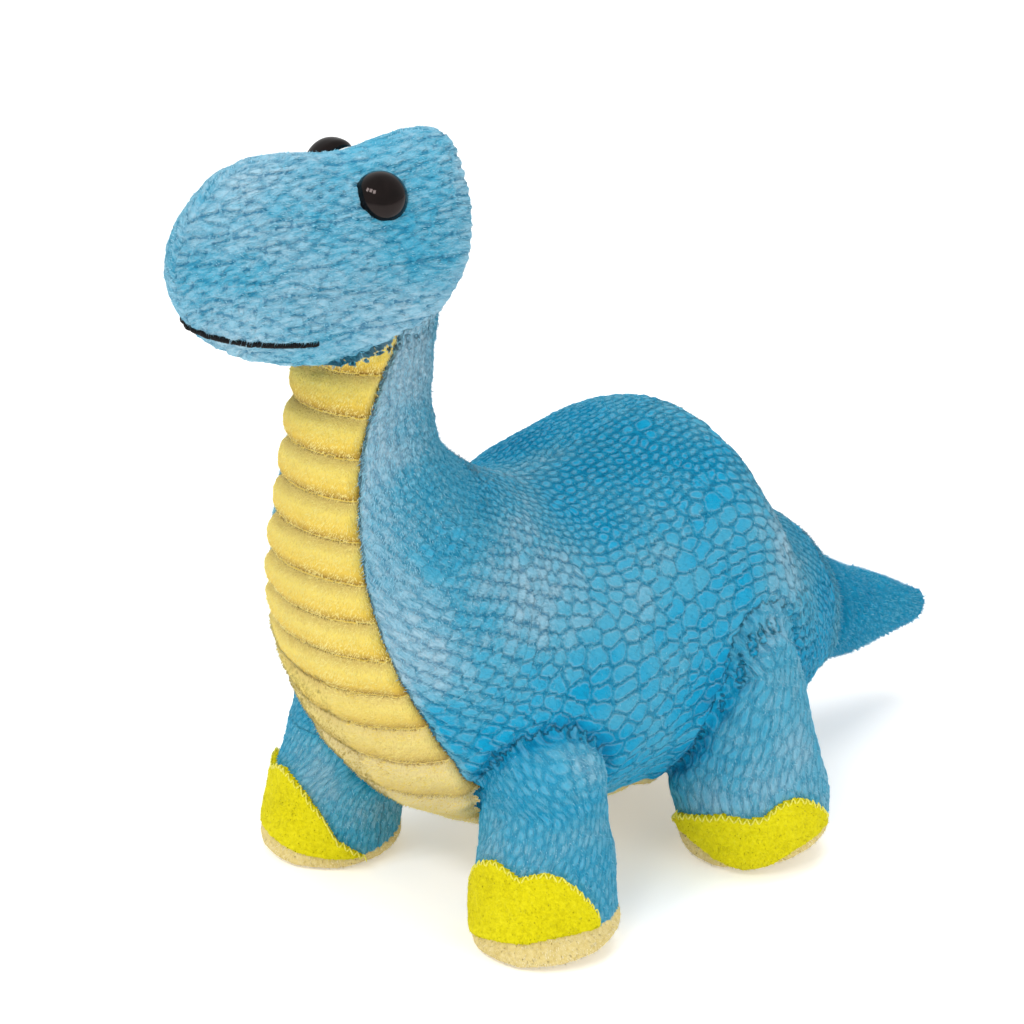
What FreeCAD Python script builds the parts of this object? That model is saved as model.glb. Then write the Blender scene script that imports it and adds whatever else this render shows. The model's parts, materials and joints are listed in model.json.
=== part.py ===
import FreeCAD, Part
import os

# A stuffed long-necked dinosaur, standing, facing -Y, ground at z = 0, in mm.
# Every stuffed form is a loft through elliptical sections. A cloth cover is the outer form
# minus the same form moved in by one cloth thickness, and the stuffing is smaller by a gap.

V = FreeCAD.Vector
doc = FreeCAD.newDocument("stuffed_dinosaur")
sheet = doc.addObject("Spreadsheet::Sheet", "sheet")
row = [0]


def cell(alias, value, note=""):
    """One driving dimension as a plain number with an alias."""
    row[0] += 1
    sheet.set("A%d" % row[0], note or alias)
    sheet.set("B%d" % row[0], repr(value))
    sheet.setAlias("B%d" % row[0], alias)
    return "sheet." + alias


# ---- shared dimensions ------------------------------------------------------------------
cell("cloth", 2.0, "thickness of the plush cloth")
cell("gap", 0.25, "play between cloth and stuffing")
cell("play", 0.4, "clearance between a ball end and the bowl it turns in")
cell("lift", 0.1, "air under an applied piece")
cell("patch", 0.9, "thickness of an applied piece, with its air")
cell("thread", 1.3, "height of a stitched line, with its air")
cell("big", 400.0, "size of the cutting blocks")

# ---- stations: top point y z, bottom point y z, half width ---------------------------------
TORSO = [(73.5, 60, 70.5, 29, 15.8),
         (69, 68, 64.5, 24, 26),
         (52, 89, 47, 18, 38),
         (29, 110, 23, 16, 47.5),
         (0, 112, -7, 16, 48.5),
         (-23, 107, -40, 18, 48),
         (-38, 108, -71, 31, 44),
         (-46, 113, -90, 57, 37),
         (-51, 122, -96, 88, 29.8),
         (-54.3, 127.6, -96.5, 104, 24.6)]
GUSSET = [(52, 89, 47, 18, 12),
          (29, 110, 23, 16, 21),
          (0, 112, -7, 16, 24),
          (-23, 107, -40, 18, 27),
          (-38, 108, -71, 31, 27),
          (-46, 113, -90, 57, 25),
          (-51, 122, -96, 88, 21.5),
          (-55, 130, -96.5, 104, 18.5)]
NECK = [(-57.5, 128.2, -94, 105.8, 21.5),
        (-59.8, 141, -95, 124, 20.2),
        (-61, 152, -93, 138, 18)]
THROAT = [(-53, 112, -97, 88, 19.5),
          (-57.5, 128.2, -94.5, 105.8, 17),
          (-59, 141, -95.5, 124, 15),
          (-61, 152, -94, 138, 13.5),
          (-62, 163, -92, 150, 12)]
TAIL = [(78.3, 55.9, 77.2, 32.3, 12),
        (89, 52, 87, 27, 14),
        (101, 47, 99, 25, 12.5),
        (115, 42, 113.5, 26.5, 9.5),
        (124, 39.5, 123, 28, 7),
        (127, 37.5, 126.6, 30, 4.5)]

# the head, in its own frame: origin at the turning point on top of the neck, facing -Y;
# station: forward distance, top z, bottom z, half width
HEAD = [(-26.5, 40, 32, 3.5),
        (-24.5, 48, 28, 9),
        (-19.5, 56.5, 21, 16.5),
        (-9, 60.5, 11, 22),
        (6, 60.5, 5, 24),
        (22, 58, 5, 23.5),
        (36, 53.5, 9, 20.5),
        (46, 46.5, 16.5, 14.8),
        (51, 38.5, 24.5, 6.8),
        (52, 34, 29, 2.4)]

# one leg: hinge point x y z, foot centre x y, foot radius, ball radius, toe-out, inner
# wall of its socket, reach of the socket's flare
LEGS = {
    "front_left": (38, -53, 40, 43, -58, 18.7, 16, 0, 21.2, 1),
    "front_right": (-36, -53, 40, -38, -57, 18.7, 16, 0, 18.8, -1),
    "rear_left": (38, 17, 56, 41.5, 21, 20, 16, 25, 19.6, 1),
    "rear_right": (-38, 17, 56, -41.5, 21, 20, 16, -25, 19.6, -1),
}
# leg profile: share of the hinge height above the ground, share of the foot radius
LEG_PROFILE = [(0.0, 0.86), (0.11, 0.98), (0.22, 1.0), (0.38, 0.985), (0.66, 0.86)]

# angles in degrees: the head's turn to its right, and how far the eyes look up and forward
HEAD_YAW, EYE_TILT, EYE_FORE = -14, 24, 14

for tag, rows in (("torso", TORSO), ("gusset", GUSSET), ("neck", NECK), ("throat", THROAT),
                  ("tail", TAIL)):
    for i, (ty, tz, by, bz, w) in enumerate(rows):
        for key, value in (("ty", ty), ("tz", tz), ("by", by), ("bz", bz), ("w", w)):
            cell("%s%d_%s" % (tag, i, key), value)
for i, (f, t, b, w) in enumerate(HEAD):
    for key, value in (("f", f), ("t", t), ("b", b), ("w", w)):
        cell("head%d_%s" % (i, key), value)
for name, v in LEGS.items():
    for key, value in zip(("x", "y", "z", "fx", "fy", "rf", "rb", "toe", "inner"), v):
        cell("%s_%s" % (name, key), value)
for i, (h, r) in enumerate(LEG_PROFILE):
    cell("prof%d_h" % i, h)
    cell("prof%d_r" % i, r)

cell("neck_y", -75.75, "neck hinge")
cell("neck_z", 117.0)
cell("neck_r", 22.0, "ball end at the foot of the neck")
cell("head_y", -76.0, "turning point of the head")
cell("head_z", 141.0)
cell("head_r", 19.0, "ball end on top of the neck")
cell("tail_y", 76.0, "tail hinge")
cell("tail_z", 44.1)
cell("tail_r", 13.0, "ball end of the tail")
cell("reach", 45.0, "depth of a leg socket")
cell("flare", 21.0, "widening of a leg socket over its depth")
cell("sole_h", 7.0, "height of the sole's rim")
cell("sole_t", 2.5, "thickness of the sole")
cell("toe_top", 19.0, "upper edge of the toe patch")
cell("toe_back", 3.0, "how far the toe patch stays in front of the foot's middle")
cell("eye_x", 16.2, "eye, from the middle of the head")
cell("eye_f", 5.0, "eye, forward of the turning point")
cell("eye_z", 51.0, "eye, above the turning point")
cell("eye_r", 6.0, "radius of the eye dome")
cell("eye_tilt", EYE_TILT, "how far the eye looks upward")
cell("eye_fore", EYE_FORE, "how far the eye looks forward")
cell("shank_r", 1.4)
cell("shank_l", 8.0)
cell("washer_r", 6.0)
cell("washer_t", 1.2)
cell("washer_d", 3.4, "depth of the washer under the dome's base")
cell("mouth_z", 18.6, "mouth line above the turning point")
cell("mouth_f", 14.0, "rear end of the mouth line")
cell("chin_f", -4.0, "rear end of the chin piece")
doc.recompute()


# ---- small builders -----------------------------------------------------------------------
def make(kind, name, binds=None, rotation=None, **props):
    obj = doc.addObject(kind, name)
    for key, value in props.items():
        setattr(obj, key, value)
    if rotation is not None:
        obj.Placement = FreeCAD.Placement(V(0, 0, 0), rotation)
    for key, text in (binds or {}).items():
        obj.setExpression(key, text)
    return obj


def at(x=None, y=None, z=None):
    binds = {}
    for axis, text in (("x", x), ("y", y), ("z", z)):
        if text is not None:
            binds["Placement.Base." + axis] = text
    return binds


def loft(name, sections):
    return make("Part::Loft", name, Sections=sections, Solid=True, Ruled=False, Closed=False)


def ring_loft(tag, count, name, grow="0"):
    """Loft through a row's ellipses, each moved out by grow."""
    sections = []
    for i in range(count):
        c = "sheet.%s%d_" % (tag, i)
        length = "sqrt((%sty - %sby)^2 + (%stz - %sbz)^2)" % (c, c, c, c)
        binds = {"MajorRadius": "%sw + %s" % (c, grow),
                 "MinorRadius": "%s / 2 + %s" % (length, grow)}
        binds.update(at(y="(%sty + %sby) / 2" % (c, c), z="(%stz + %sbz) / 2" % (c, c)))
        binds["Placement.Rotation.Angle"] = "atan2(%stz - %sbz; %sty - %sby)" % (c, c, c, c)
        sections.append(make("Part::Ellipse", "%s_s%d" % (name, i), binds,
                             FreeCAD.Rotation(V(1, 0, 0), 45), MajorRadius=60, MinorRadius=1))
    return loft(name, sections)


def strip_loft(tag, count, name):
    """Loft through circles centred on a row's bottom points: it cuts out a gusset."""
    sections = []
    for i in range(count):
        c = "sheet.%s%d_" % (tag, i)
        binds = {"Radius": c + "w"}
        binds.update(at(y=c + "by", z=c + "bz"))
        binds["Placement.Rotation.Angle"] = "atan2(%stz - %sbz; %sty - %sby)" % (c, c, c, c)
        sections.append(make("Part::Circle", "%s_s%d" % (name, i), binds,
                             FreeCAD.Rotation(V(1, 0, 0), 45)))
    return loft(name, sections)


def head_loft(name, grow="0"):
    sections = []
    for i in range(len(HEAD)):
        c = "sheet.head%d_" % i
        binds = {"MajorRadius": "(%st - %sb) / 2 + %s" % (c, c, grow),
                 "MinorRadius": "%sw + %s" % (c, grow)}
        end = {0: "+ %s" % grow, len(HEAD) - 1: "- (%s)" % grow}.get(i, "")
        binds.update(at(y="0 - %sf %s" % (c, end), z="(%st + %sb) / 2" % (c, c)))
        sections.append(make("Part::Ellipse", "%s_s%d" % (name, i), binds,
                             FreeCAD.Rotation(V(1, 1, 1), -120), MajorRadius=60, MinorRadius=1))
    return loft(name, sections)


def sphere(name, radius, y, z):
    return make("Part::Sphere", name, dict(Radius=radius, **at(y=y, z=z)))


def fuse(name, shapes):
    return make("Part::MultiFuse", name, Shapes=shapes)


def cut(name, base, tool):
    return make("Part::Cut", name, Base=base, Tool=tool)


def common(name, base, tool):
    return make("Part::Common", name, Base=base, Tool=tool)


def block(name, x, y, z, sx="sheet.big", sy="sheet.big", sz="sheet.big"):
    binds = {"Length": sx, "Width": sy, "Height": sz}
    binds.update(at(x, y, z))
    return make("Part::Box", name, binds)


nodes = []


def node(obj, label):
    obj.Label = label
    nodes.append(obj)
    return obj


LEFT = block("side_left", "0", "0 - sheet.big / 2", "0 - sheet.big / 2")
RIGHT = block("side_right", "0 - sheet.big", "0 - sheet.big / 2", "0 - sheet.big / 2")


# ---- sockets in the torso -------------------------------------------------------------------
def leg_socket(name, sign):
    """A round bowl across the leg's hinge with a flare under it for the swing."""
    c = "sheet.%s_" % name
    x = "%sinner" % c if sign > 0 else "0 - %sinner - sheet.reach" % c
    r = "(%srb + sheet.play)" % c
    bowl = make("Part::Cylinder", "bowl_" + name,
                dict(Radius=r, Height="sheet.reach", **at(x, c + "y", c + "z")),
                FreeCAD.Rotation(V(0, 1, 0), 90))
    wide = "(%s + sheet.flare)" % r
    flare = make("Part::Wedge", "flare_" + name,
                 dict(Xmin="0", Ymin="0", Zmin="0 - " + r, X2min="0", Z2min="0 - " + wide,
                      Xmax="sheet.reach", Ymax="sheet.reach", Zmax=r, X2max="sheet.reach",
                      Z2max=wide, **at(x, c + "y", c + "z")),
                 FreeCAD.Rotation(V(1, 0, 0), -90))
    return fuse("socket_" + name, [bowl, flare])


neck_bowl = sphere("neck_bowl", "sheet.neck_r + sheet.play", "sheet.neck_y", "sheet.neck_z")
tail_bowl = sphere("tail_bowl", "sheet.tail_r + sheet.play", "sheet.tail_y", "sheet.tail_z")
sockets = [leg_socket(name, v[-1]) for name, v in LEGS.items()]


def cut_all(name, base, tools):
    for i, tool in enumerate(tools):
        base = cut("%s_%d" % (name, i), base, tool)
    return base


# ---- torso ------------------------------------------------------------------------------------
openings = sockets + [neck_bowl, tail_bowl]
torso_out = ring_loft("torso", len(TORSO), "torso_out")
torso_in = ring_loft("torso", len(TORSO), "torso_in", "(0 - sheet.cloth)")
torso_fill = ring_loft("torso", len(TORSO), "torso_fill", "(0 - sheet.cloth - sheet.gap)")
gusset = strip_loft("gusset", len(GUSSET), "gusset_tool")
torso_shell = cut_all("torso_shell", cut("torso_wall", torso_out, torso_in), openings)
node(common("belly_panel", torso_shell, gusset), "belly_panel")
torso_sides = cut("torso_sides", torso_shell, gusset)
node(common("body_panel_left", torso_sides, LEFT), "body_panel_left")
node(common("body_panel_right", torso_sides, RIGHT), "body_panel_right")
node(cut_all("body_stuffing", torso_fill, openings), "body_stuffing")


# ---- neck --------------------------------------------------------------------------------------
def neck_form(name, grow):
    low = sphere(name + "_low", "sheet.neck_r + " + grow, "sheet.neck_y", "sheet.neck_z")
    top = sphere(name + "_top", "sheet.head_r + " + grow, "sheet.head_y", "sheet.head_z")
    return fuse(name, [low, ring_loft("neck", len(NECK), name + "_mid", grow), top])


throat_tool = strip_loft("throat", len(THROAT), "throat_tool")
neck_shell = cut("neck_shell", neck_form("neck_out", "0"),
                 neck_form("neck_in", "(0 - sheet.cloth)"))
node(common("throat_panel", neck_shell, throat_tool), "throat_panel")
neck_sides = cut("neck_sides", neck_shell, throat_tool)
node(common("neck_panel_left", neck_sides, LEFT), "neck_panel_left")
node(common("neck_panel_right", neck_sides, RIGHT), "neck_panel_right")
node(neck_form("neck_stuffing", "(0 - sheet.cloth - sheet.gap)"), "neck_stuffing")

# ---- head: built about its turning point, then set on the neck -----------------------------------
head_bowl = sphere("head_bowl", "sheet.head_r + sheet.play", "0", "0")
head_out = head_loft("head_out")
head_in = head_loft("head_in", "(0 - sheet.cloth)")
head_fill = head_loft("head_fill", "(0 - sheet.cloth - sheet.gap)")
head_lift = head_loft("head_lift", "sheet.lift")
head_thread = head_loft("head_thread", "sheet.patch")
chin_tool = block("chin_tool", "0 - sheet.big / 2", "0 - sheet.chin_f - sheet.big",
                  "sheet.mouth_z - sheet.big")


def eye_rotation(sign):
    """The local z axis points out of the head at the eye."""
    tilt = FreeCAD.Rotation(V(0, 1, 0), sign * (90 - EYE_TILT))
    fore = FreeCAD.Rotation(V(0, 0, 1), -sign * EYE_FORE)
    return fore.multiply(tilt)


def eye_part(kind, name, sign, depth, binds):
    """A round piece on the eye's axis, its origin depth under the dome's base."""
    x = "sheet.eye_x - (%s) * cos(sheet.eye_tilt) * cos(sheet.eye_fore)" % depth
    if sign < 0:
        x = "0 - (%s)" % x
    y = "0 - sheet.eye_f + (%s) * cos(sheet.eye_tilt) * sin(sheet.eye_fore)" % depth
    z = "sheet.eye_z - (%s) * sin(sheet.eye_tilt)" % depth
    return make(kind, name, dict(binds, **at(x, y, z)), eye_rotation(sign))


eye_tools, pockets = [], []
for side, sign in (("left", 1), ("right", -1)):
    dome = eye_part("Part::Sphere", "dome_" + side, sign, "0", {"Radius": "sheet.eye_r"})
    dome.Angle1 = 0
    shank = eye_part("Part::Cylinder", "shank_" + side, sign, "sheet.shank_l",
                     {"Radius": "sheet.shank_r", "Height": "sheet.shank_l + 1"})
    node(fuse("eye_" + side, [dome, shank]), "eye_" + side)
    ring = eye_part("Part::Cylinder", "ring_" + side, sign, "sheet.washer_d + sheet.washer_t",
                    {"Radius": "sheet.washer_r", "Height": "sheet.washer_t"})
    hole = eye_part("Part::Cylinder", "ring_hole_" + side, sign, "sheet.shank_l",
                    {"Radius": "sheet.shank_r + 0.03", "Height": "sheet.shank_l"})
    node(cut("eye_washer_" + side, ring, hole), "eye_washer_" + side)
    pocket = eye_part("Part::Cylinder", "pocket_" + side, sign,
                      "sheet.washer_d + sheet.washer_t + sheet.gap",
                      {"Radius": "sheet.washer_r + sheet.gap", "Height": "sheet.washer_d"})
    bore = eye_part("Part::Cylinder", "bore_" + side, sign, "sheet.shank_l + sheet.gap",
                    {"Radius": "sheet.shank_r + sheet.gap", "Height": "sheet.shank_l"})
    eye_tools += [dome, shank]
    pockets.append(fuse("eye_pocket_" + side, [pocket, bore, dome]))

head_shell = cut_all("head_shell", cut("head_wall", head_out, head_in), [head_bowl] + eye_tools)
node(common("chin_panel", head_shell, chin_tool), "chin_panel")
head_sides = cut("head_sides", head_shell, chin_tool)
node(common("head_panel_left", head_sides, LEFT), "head_panel_left")
node(common("head_panel_right", head_sides, RIGHT), "head_panel_right")
node(cut_all("head_stuffing", head_fill, [head_bowl] + pockets), "head_stuffing")
mouth_ring = cut("mouth_ring", head_thread, head_lift)
mouth_tool = block("mouth_tool", "0 - sheet.big / 2", "0 - sheet.mouth_f - sheet.big",
                   "sheet.mouth_z", sz="1.4")
node(common("mouth_stitch", mouth_ring, mouth_tool), "mouth_stitch")
HEAD_NODES = ["chin_panel", "head_panel_left", "head_panel_right", "head_stuffing",
              "mouth_stitch", "eye_left", "eye_right", "eye_washer_left", "eye_washer_right"]
for obj in [o for o in nodes if o.Label in HEAD_NODES]:
    obj.Placement = FreeCAD.Placement(V(0, 0, 0), FreeCAD.Rotation(V(0, 0, 1), HEAD_YAW))
    obj.setExpression("Placement.Base.y", "sheet.head_y")
    obj.setExpression("Placement.Base.z", "sheet.head_z")


# ---- tail ----------------------------------------------------------------------------------------
def tail_form(name, grow):
    ball = sphere(name + "_ball", "sheet.tail_r + " + grow, "sheet.tail_y", "sheet.tail_z")
    return fuse(name, [ball, ring_loft("tail", len(TAIL), name + "_body", grow)])


tail_shell = cut("tail_shell", tail_form("tail_out", "0"), tail_form("tail_in", "(0 - sheet.cloth)"))
node(common("tail_panel_left", tail_shell, LEFT), "tail_panel_left")
node(common("tail_panel_right", tail_shell, RIGHT), "tail_panel_right")
node(tail_form("tail_stuffing", "(0 - sheet.cloth - sheet.gap)"), "tail_stuffing")


# ---- legs: built about the hinge point, the foot under it, then set on the torso -------------------
def leg_form(name, leg, grow, floor="0", ball=True):
    """Loft from the foot up into the ball end; floor lifts the lowest section."""
    c = "sheet.%s_" % leg
    sections = []
    for i in range(len(LEG_PROFILE)):
        h = "sheet.prof%d_h" % i
        x = "(%sfx - %sx) * (1 - %s)" % (c, c, h)
        y = "(%sfy - %sy) * (1 - %s)" % (c, c, h)
        z = "%sz * (%s - 1)" % (c, h)
        if i == 0:
            z += " + " + floor
        binds = {"Radius": "%srf * sheet.prof%d_r + %s" % (c, i, grow)}
        binds.update(at(x, y, z))
        sections.append(make("Part::Circle", "%s_s%d" % (name, i), binds))
    top = {"Radius": "%srb * 0.95 + %s" % (c, grow)}
    top.update(at(z="0"))
    sections.append(make("Part::Circle", name + "_top", top))
    body = loft(name + "_body", sections)
    if not ball:
        return body
    knob = make("Part::Sphere", name + "_ball", {"Radius": "%srb + %s" % (c, grow)})
    return fuse(name, [body, knob])


def leg_nodes(leg):
    c = "sheet.%s_" % leg
    own = []
    outer = leg_form(leg + "_out", leg, "0")
    inner = leg_form(leg + "_in", leg, "(0 - sheet.cloth)", "sheet.sole_t")
    fill = leg_form(leg + "_stuffing", leg, "(0 - sheet.cloth - sheet.gap)",
                    "sheet.sole_t + sheet.gap")
    own.append(node(fill, leg + "_stuffing"))
    wall = cut(leg + "_wall", outer, inner)
    low = block(leg + "_low", "0 - sheet.big / 2", "0 - sheet.big / 2",
                "sheet.sole_h - %sz - sheet.big" % c)
    own.append(node(common(leg + "_sole", wall, low), leg + "_sole"))
    own.append(node(cut(leg + "_cover", wall, low), leg + "_cover"))
    air = leg_form(leg + "_air", leg, "sheet.lift", ball=False)
    toe = leg_form(leg + "_toe", leg, "sheet.patch", ball=False)
    yarn = leg_form(leg + "_yarn", leg, "sheet.thread", ball=False)

    def front(name, low_z, height):
        """The block in front of the foot's middle, turned with the toes."""
        toe = c + "toe"
        x = "%sfx - %sx - sheet.big / 2 * cos(%s) + (sheet.toe_back + sheet.big) * sin(%s)"
        y = "%sfy - %sy - sheet.big / 2 * sin(%s) - (sheet.toe_back + sheet.big) * cos(%s)"
        box = block(name, x % (c, c, toe, toe), y % (c, c, toe, toe), low_z, sz=height)
        box.Placement.Rotation = FreeCAD.Rotation(V(0, 0, 1), LEGS[leg][7])
        return box

    toe_tool = front(leg + "_toe_tool", "sheet.sole_h - %sz" % c, "sheet.toe_top - sheet.sole_h")
    own.append(node(common(leg + "_toe_patch", cut(leg + "_toe_ring", toe, air), toe_tool),
                    leg + "_toe_patch"))
    yarn_tool = front(leg + "_yarn_tool", "sheet.toe_top - %sz + 0.05" % c, "1.5")
    own.append(node(common(leg + "_toe_stitch", cut(leg + "_yarn_ring", yarn, air), yarn_tool),
                    leg + "_toe_stitch"))
    for obj in own:
        for key, text in at(c + "x", c + "y", c + "z").items():
            obj.setExpression(key, text)


for leg_name in LEGS:
    leg_nodes(leg_name)

doc.recompute()

# ---- checks and export ------------------------------------------------------------------------------
for obj in doc.Objects:
    if "Invalid" in obj.State or "Error" in obj.State:
        raise RuntimeError("%s is in state %s" % (obj.Label, obj.State))
for obj in nodes:
    if obj.Shape.isNull() or not obj.Shape.isValid():
        raise RuntimeError("%s has no valid shape" % obj.Label)
os.makedirs("parts", exist_ok=True)
for obj in nodes:
    obj.Shape.exportStep("parts/%s.step" % obj.Label)
    box = obj.Shape.BoundBox
    print("%-26s solids %d  volume %9.1f  x %6.1f..%6.1f  y %6.1f..%6.1f  z %6.1f..%6.1f" % (
        obj.Label, len(obj.Shape.Solids), obj.Shape.Volume, box.XMin, box.XMax, box.YMin,
        box.YMax, box.ZMin, box.ZMax))
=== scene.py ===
import json
import math

import bpy
import numpy as np
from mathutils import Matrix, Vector, kdtree
from mathutils.bvhtree import BVHTree


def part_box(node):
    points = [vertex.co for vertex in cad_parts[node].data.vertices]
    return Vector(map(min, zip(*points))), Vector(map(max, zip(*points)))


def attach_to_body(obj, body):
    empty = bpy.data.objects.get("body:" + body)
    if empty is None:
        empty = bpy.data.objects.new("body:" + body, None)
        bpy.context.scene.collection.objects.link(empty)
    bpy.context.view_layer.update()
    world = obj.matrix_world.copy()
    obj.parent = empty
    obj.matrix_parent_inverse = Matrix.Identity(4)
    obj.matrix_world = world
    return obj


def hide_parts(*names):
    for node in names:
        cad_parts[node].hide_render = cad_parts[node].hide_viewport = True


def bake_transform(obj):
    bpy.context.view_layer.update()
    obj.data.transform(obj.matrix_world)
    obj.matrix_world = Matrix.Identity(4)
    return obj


# Looks of a stuffed long-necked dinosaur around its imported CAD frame. Lengths here are in
# millimetres until a mesh is written; the toy faces -Y and stands on z = 0.

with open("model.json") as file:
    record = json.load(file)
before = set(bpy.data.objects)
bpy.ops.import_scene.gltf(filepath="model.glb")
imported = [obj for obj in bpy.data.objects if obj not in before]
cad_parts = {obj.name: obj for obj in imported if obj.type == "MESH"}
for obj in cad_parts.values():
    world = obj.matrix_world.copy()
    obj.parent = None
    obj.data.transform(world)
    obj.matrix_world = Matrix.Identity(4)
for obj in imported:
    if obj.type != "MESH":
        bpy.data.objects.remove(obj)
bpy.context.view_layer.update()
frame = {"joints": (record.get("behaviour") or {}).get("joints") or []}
MM = 0.001
# draws the scales of all forms, one after another
rng = np.random.default_rng(11)


# ---- joints and places taken from the frame ----
def joint_point(name):
    for j in frame["joints"]:
        if j["name"] == name:
            return np.array(j["pos_m"]) / MM
    raise ValueError(name)


def foot_of(leg):
    """The middle of a leg's sole on the ground, and its radius."""
    low, high = (np.array(corner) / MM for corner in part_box(leg + "_sole"))
    return np.array([(low[0] + high[0]) / 2, (low[1] + high[1]) / 2, 0.0]), (high[0] - low[0]) / 2


NECK_HINGE = joint_point("neck_bend")
HEAD_PIVOT = joint_point("head_turn")
LEG_NAMES = ("front_left", "front_right", "rear_left", "rear_right")
LEG_HINGE = {n: joint_point(n + "_leg_swing") for n in LEG_NAMES}
FOOT = {n: foot_of(n) for n in LEG_NAMES}
# degrees by which each foot's toes point away from straight ahead
TOE_OUT = {"front_left": 3, "front_right": -8, "rear_left": 24, "rear_right": -24}
# how far the heel side of a foot stands off the floor
HEEL_RISE = {"front": 4.0, "rear": 5.5}
# the top of this leg is tucked further under the body than its joint
TUCK = {"front_right": np.array([3.0, 0, 0])}
# a leg's outline: heights and shares of its foot's radius
SHAFT = {"front": [(0.0, 0.66), (0.2, 0.88), (1.3, 0.965), (4.0, 1.0), (8.0, 1.0), (14.0, 0.985),
                   (23.0, 0.95)],
         "rear": [(0.0, 0.60), (0.2, 0.80), (1.3, 0.92), (4.0, 0.99), (8.0, 1.02), (14.0, 1.05),
                  (23.0, 1.05)]}

# the radius of the dome on a leg's top
KNOB = {"front": 15.5, "rear": 14.5}

# ---- forms: stations as top y z, bottom y z, half width, gusset share of that width ----
TRUNK = [(134.5, 31.5, 134, 25, 3.8, 0),
         (128, 34, 127, 21.5, 7.8, 0),
         (114, 41, 112.5, 21, 11, 0),
         (101, 46.5, 99, 20.3, 14.2, 0),
         (89, 54, 87, 21.5, 17.3, 0),
         (80, 60.9, 77.5, 21.5, 20, 0),
         (68.5, 71.6, 65.5, 19.5, 27.5, 0.12),
         (48.5, 83.4, 47, 15.5, 38.5, 0.40),
         (27.5, 111.6, 23, 13.8, 47, 0.50),
         (0, 109.8, -7, 14.5, 48.5, 0.55),
         (-23, 104, -40, 15.5, 48, 0.57),
         (-40, 110.2, -69.5, 29.5, 44, 0.62),
         (-51.8, 118, -88, 58, 37, 0.64),
         (-58.6, 124, -95.2, 84, 29.5, 0.61),
         (-61.6, 132, -95.5, 106, 23.5, 0.60),
         (-61, 142, -94.5, 124, 19.5, 0.67),
         (-58, 152, -93, 139, 18, 0.81),
         (-54.5, 164, -92, 153, 17.5, 0.96),
         (-54, 176, -90, 166, 15, 1.0)]
# the head about its pivot: forward distance, top, bottom, half width, roundness
HEAD = [(-23.0, 48, 37, 4, 2.2),
        (-22.8, 55.8, 31, 10, 2.6),
        (-19.8, 59.6, 22.5, 16.4, 2.6),
        (-10, 59.2, 12, 21.3, 2.35),
        (5, 56.8, 7.5, 23.1, 2.25),
        (21, 59.0, 7, 23, 2.3),
        (35, 57.2, 10.5, 21, 2.3),
        (44.5, 49, 17, 16.2, 2.2),
        (49.2, 41.5, 24, 9.2, 2.1),
        (51.2, 35, 29, 3, 2.0)]
# the head stands turned about its pivot and a little to one side
HEAD_YAW = math.radians(-14)
HEAD_SIDE = 2.2


# ---- small tools ----
def smooth(a, b, x):
    t = np.clip((x - a) / (b - a), 0, 1)
    return t * t * (3 - 2 * t)


def catmull(rows, per):
    """Rows of numbers filled in with a Catmull-Rom spline, per steps between two rows."""
    rows = np.array(rows, float)
    ext = np.vstack([2 * rows[0] - rows[1], rows, 2 * rows[-1] - rows[-2]])
    t = np.arange(per)[:, None] / per
    out = []
    for i in range(len(rows) - 1):
        a, b, c, d = ext[i:i + 4]
        out.append(0.5 * (2 * b + (c - a) * t + (2 * a - 5 * b + 4 * c - d) * t * t
                          + (3 * b - a - 3 * c + d) * t ** 3))
    out.append(rows[-1:])
    return np.vstack(out)


def hashed(cells, seed):
    """One number from 0 to 1 for each row of whole numbers."""
    h = (cells[:, 0] * 73856093) ^ (cells[:, 1] * 19349663) ^ (cells[:, 2] * 83492791)
    h = (h ^ (seed * 2654435761)) & 0xFFFFFFFF
    h = (h ^ (h >> 15)) * 2246822519 & 0xFFFFFFFF
    h = (h ^ (h >> 13)) * 3266489917 & 0xFFFFFFFF
    return ((h ^ (h >> 16)) & 0xFFFFFF) / float(0xFFFFFF)


def noise(points, size, seed=0):
    """Smooth value noise from -1 to 1 with lumps of the given size (a number or three)."""
    q = points / np.array(size, float)
    base = np.floor(q).astype(np.int64)
    f = q - base
    f = f * f * (3 - 2 * f)
    total = np.zeros(len(points))
    for corner in range(8):
        step = np.array([corner & 1, corner >> 1 & 1, corner >> 2 & 1])
        w = np.prod(np.where(step == 1, f, 1 - f), axis=1)
        total += w * hashed(base + step, seed)
    return total * 2 - 1


def tube(rings):
    """Vertices and faces of a closed skin through rings, with a fan on each end."""
    n = len(rings[0])
    verts = np.vstack(rings + [rings[0].mean(0)[None], rings[-1].mean(0)[None]])
    faces = []
    for i in range(len(rings) - 1):
        a = i * n
        faces += [(a + j, a + (j + 1) % n, a + n + (j + 1) % n, a + n + j) for j in range(n)]
    end, last = len(rings) * n, (len(rings) - 1) * n
    faces += [(end, (j + 1) % n, j) for j in range(n)]
    faces += [(end + 1, last + j, last + (j + 1) % n) for j in range(n)]
    return verts, faces


def superellipse(count, power):
    """The two coordinates of points round a closed curve; power 2 makes it an ellipse."""
    a = np.linspace(0, 2 * math.pi, count, endpoint=False)
    c, s = np.cos(a), np.sin(a)
    return np.sign(c) * np.abs(c) ** (2 / power), np.sign(s) * np.abs(s) ** (2 / power)


def turn_z(points, angle):
    c, s = math.cos(angle), math.sin(angle)
    return np.stack([c * points[:, 0] - s * points[:, 1], s * points[:, 0] + c * points[:, 1],
                     points[:, 2]], 1)


def to_head(points):
    """Row frame to the head's own frame: side, forward and up from the pivot."""
    p = turn_z(points - HEAD_PIVOT, -HEAD_YAW)
    return np.stack([p[:, 0] - HEAD_SIDE, -p[:, 1], p[:, 2]], 1)


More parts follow.
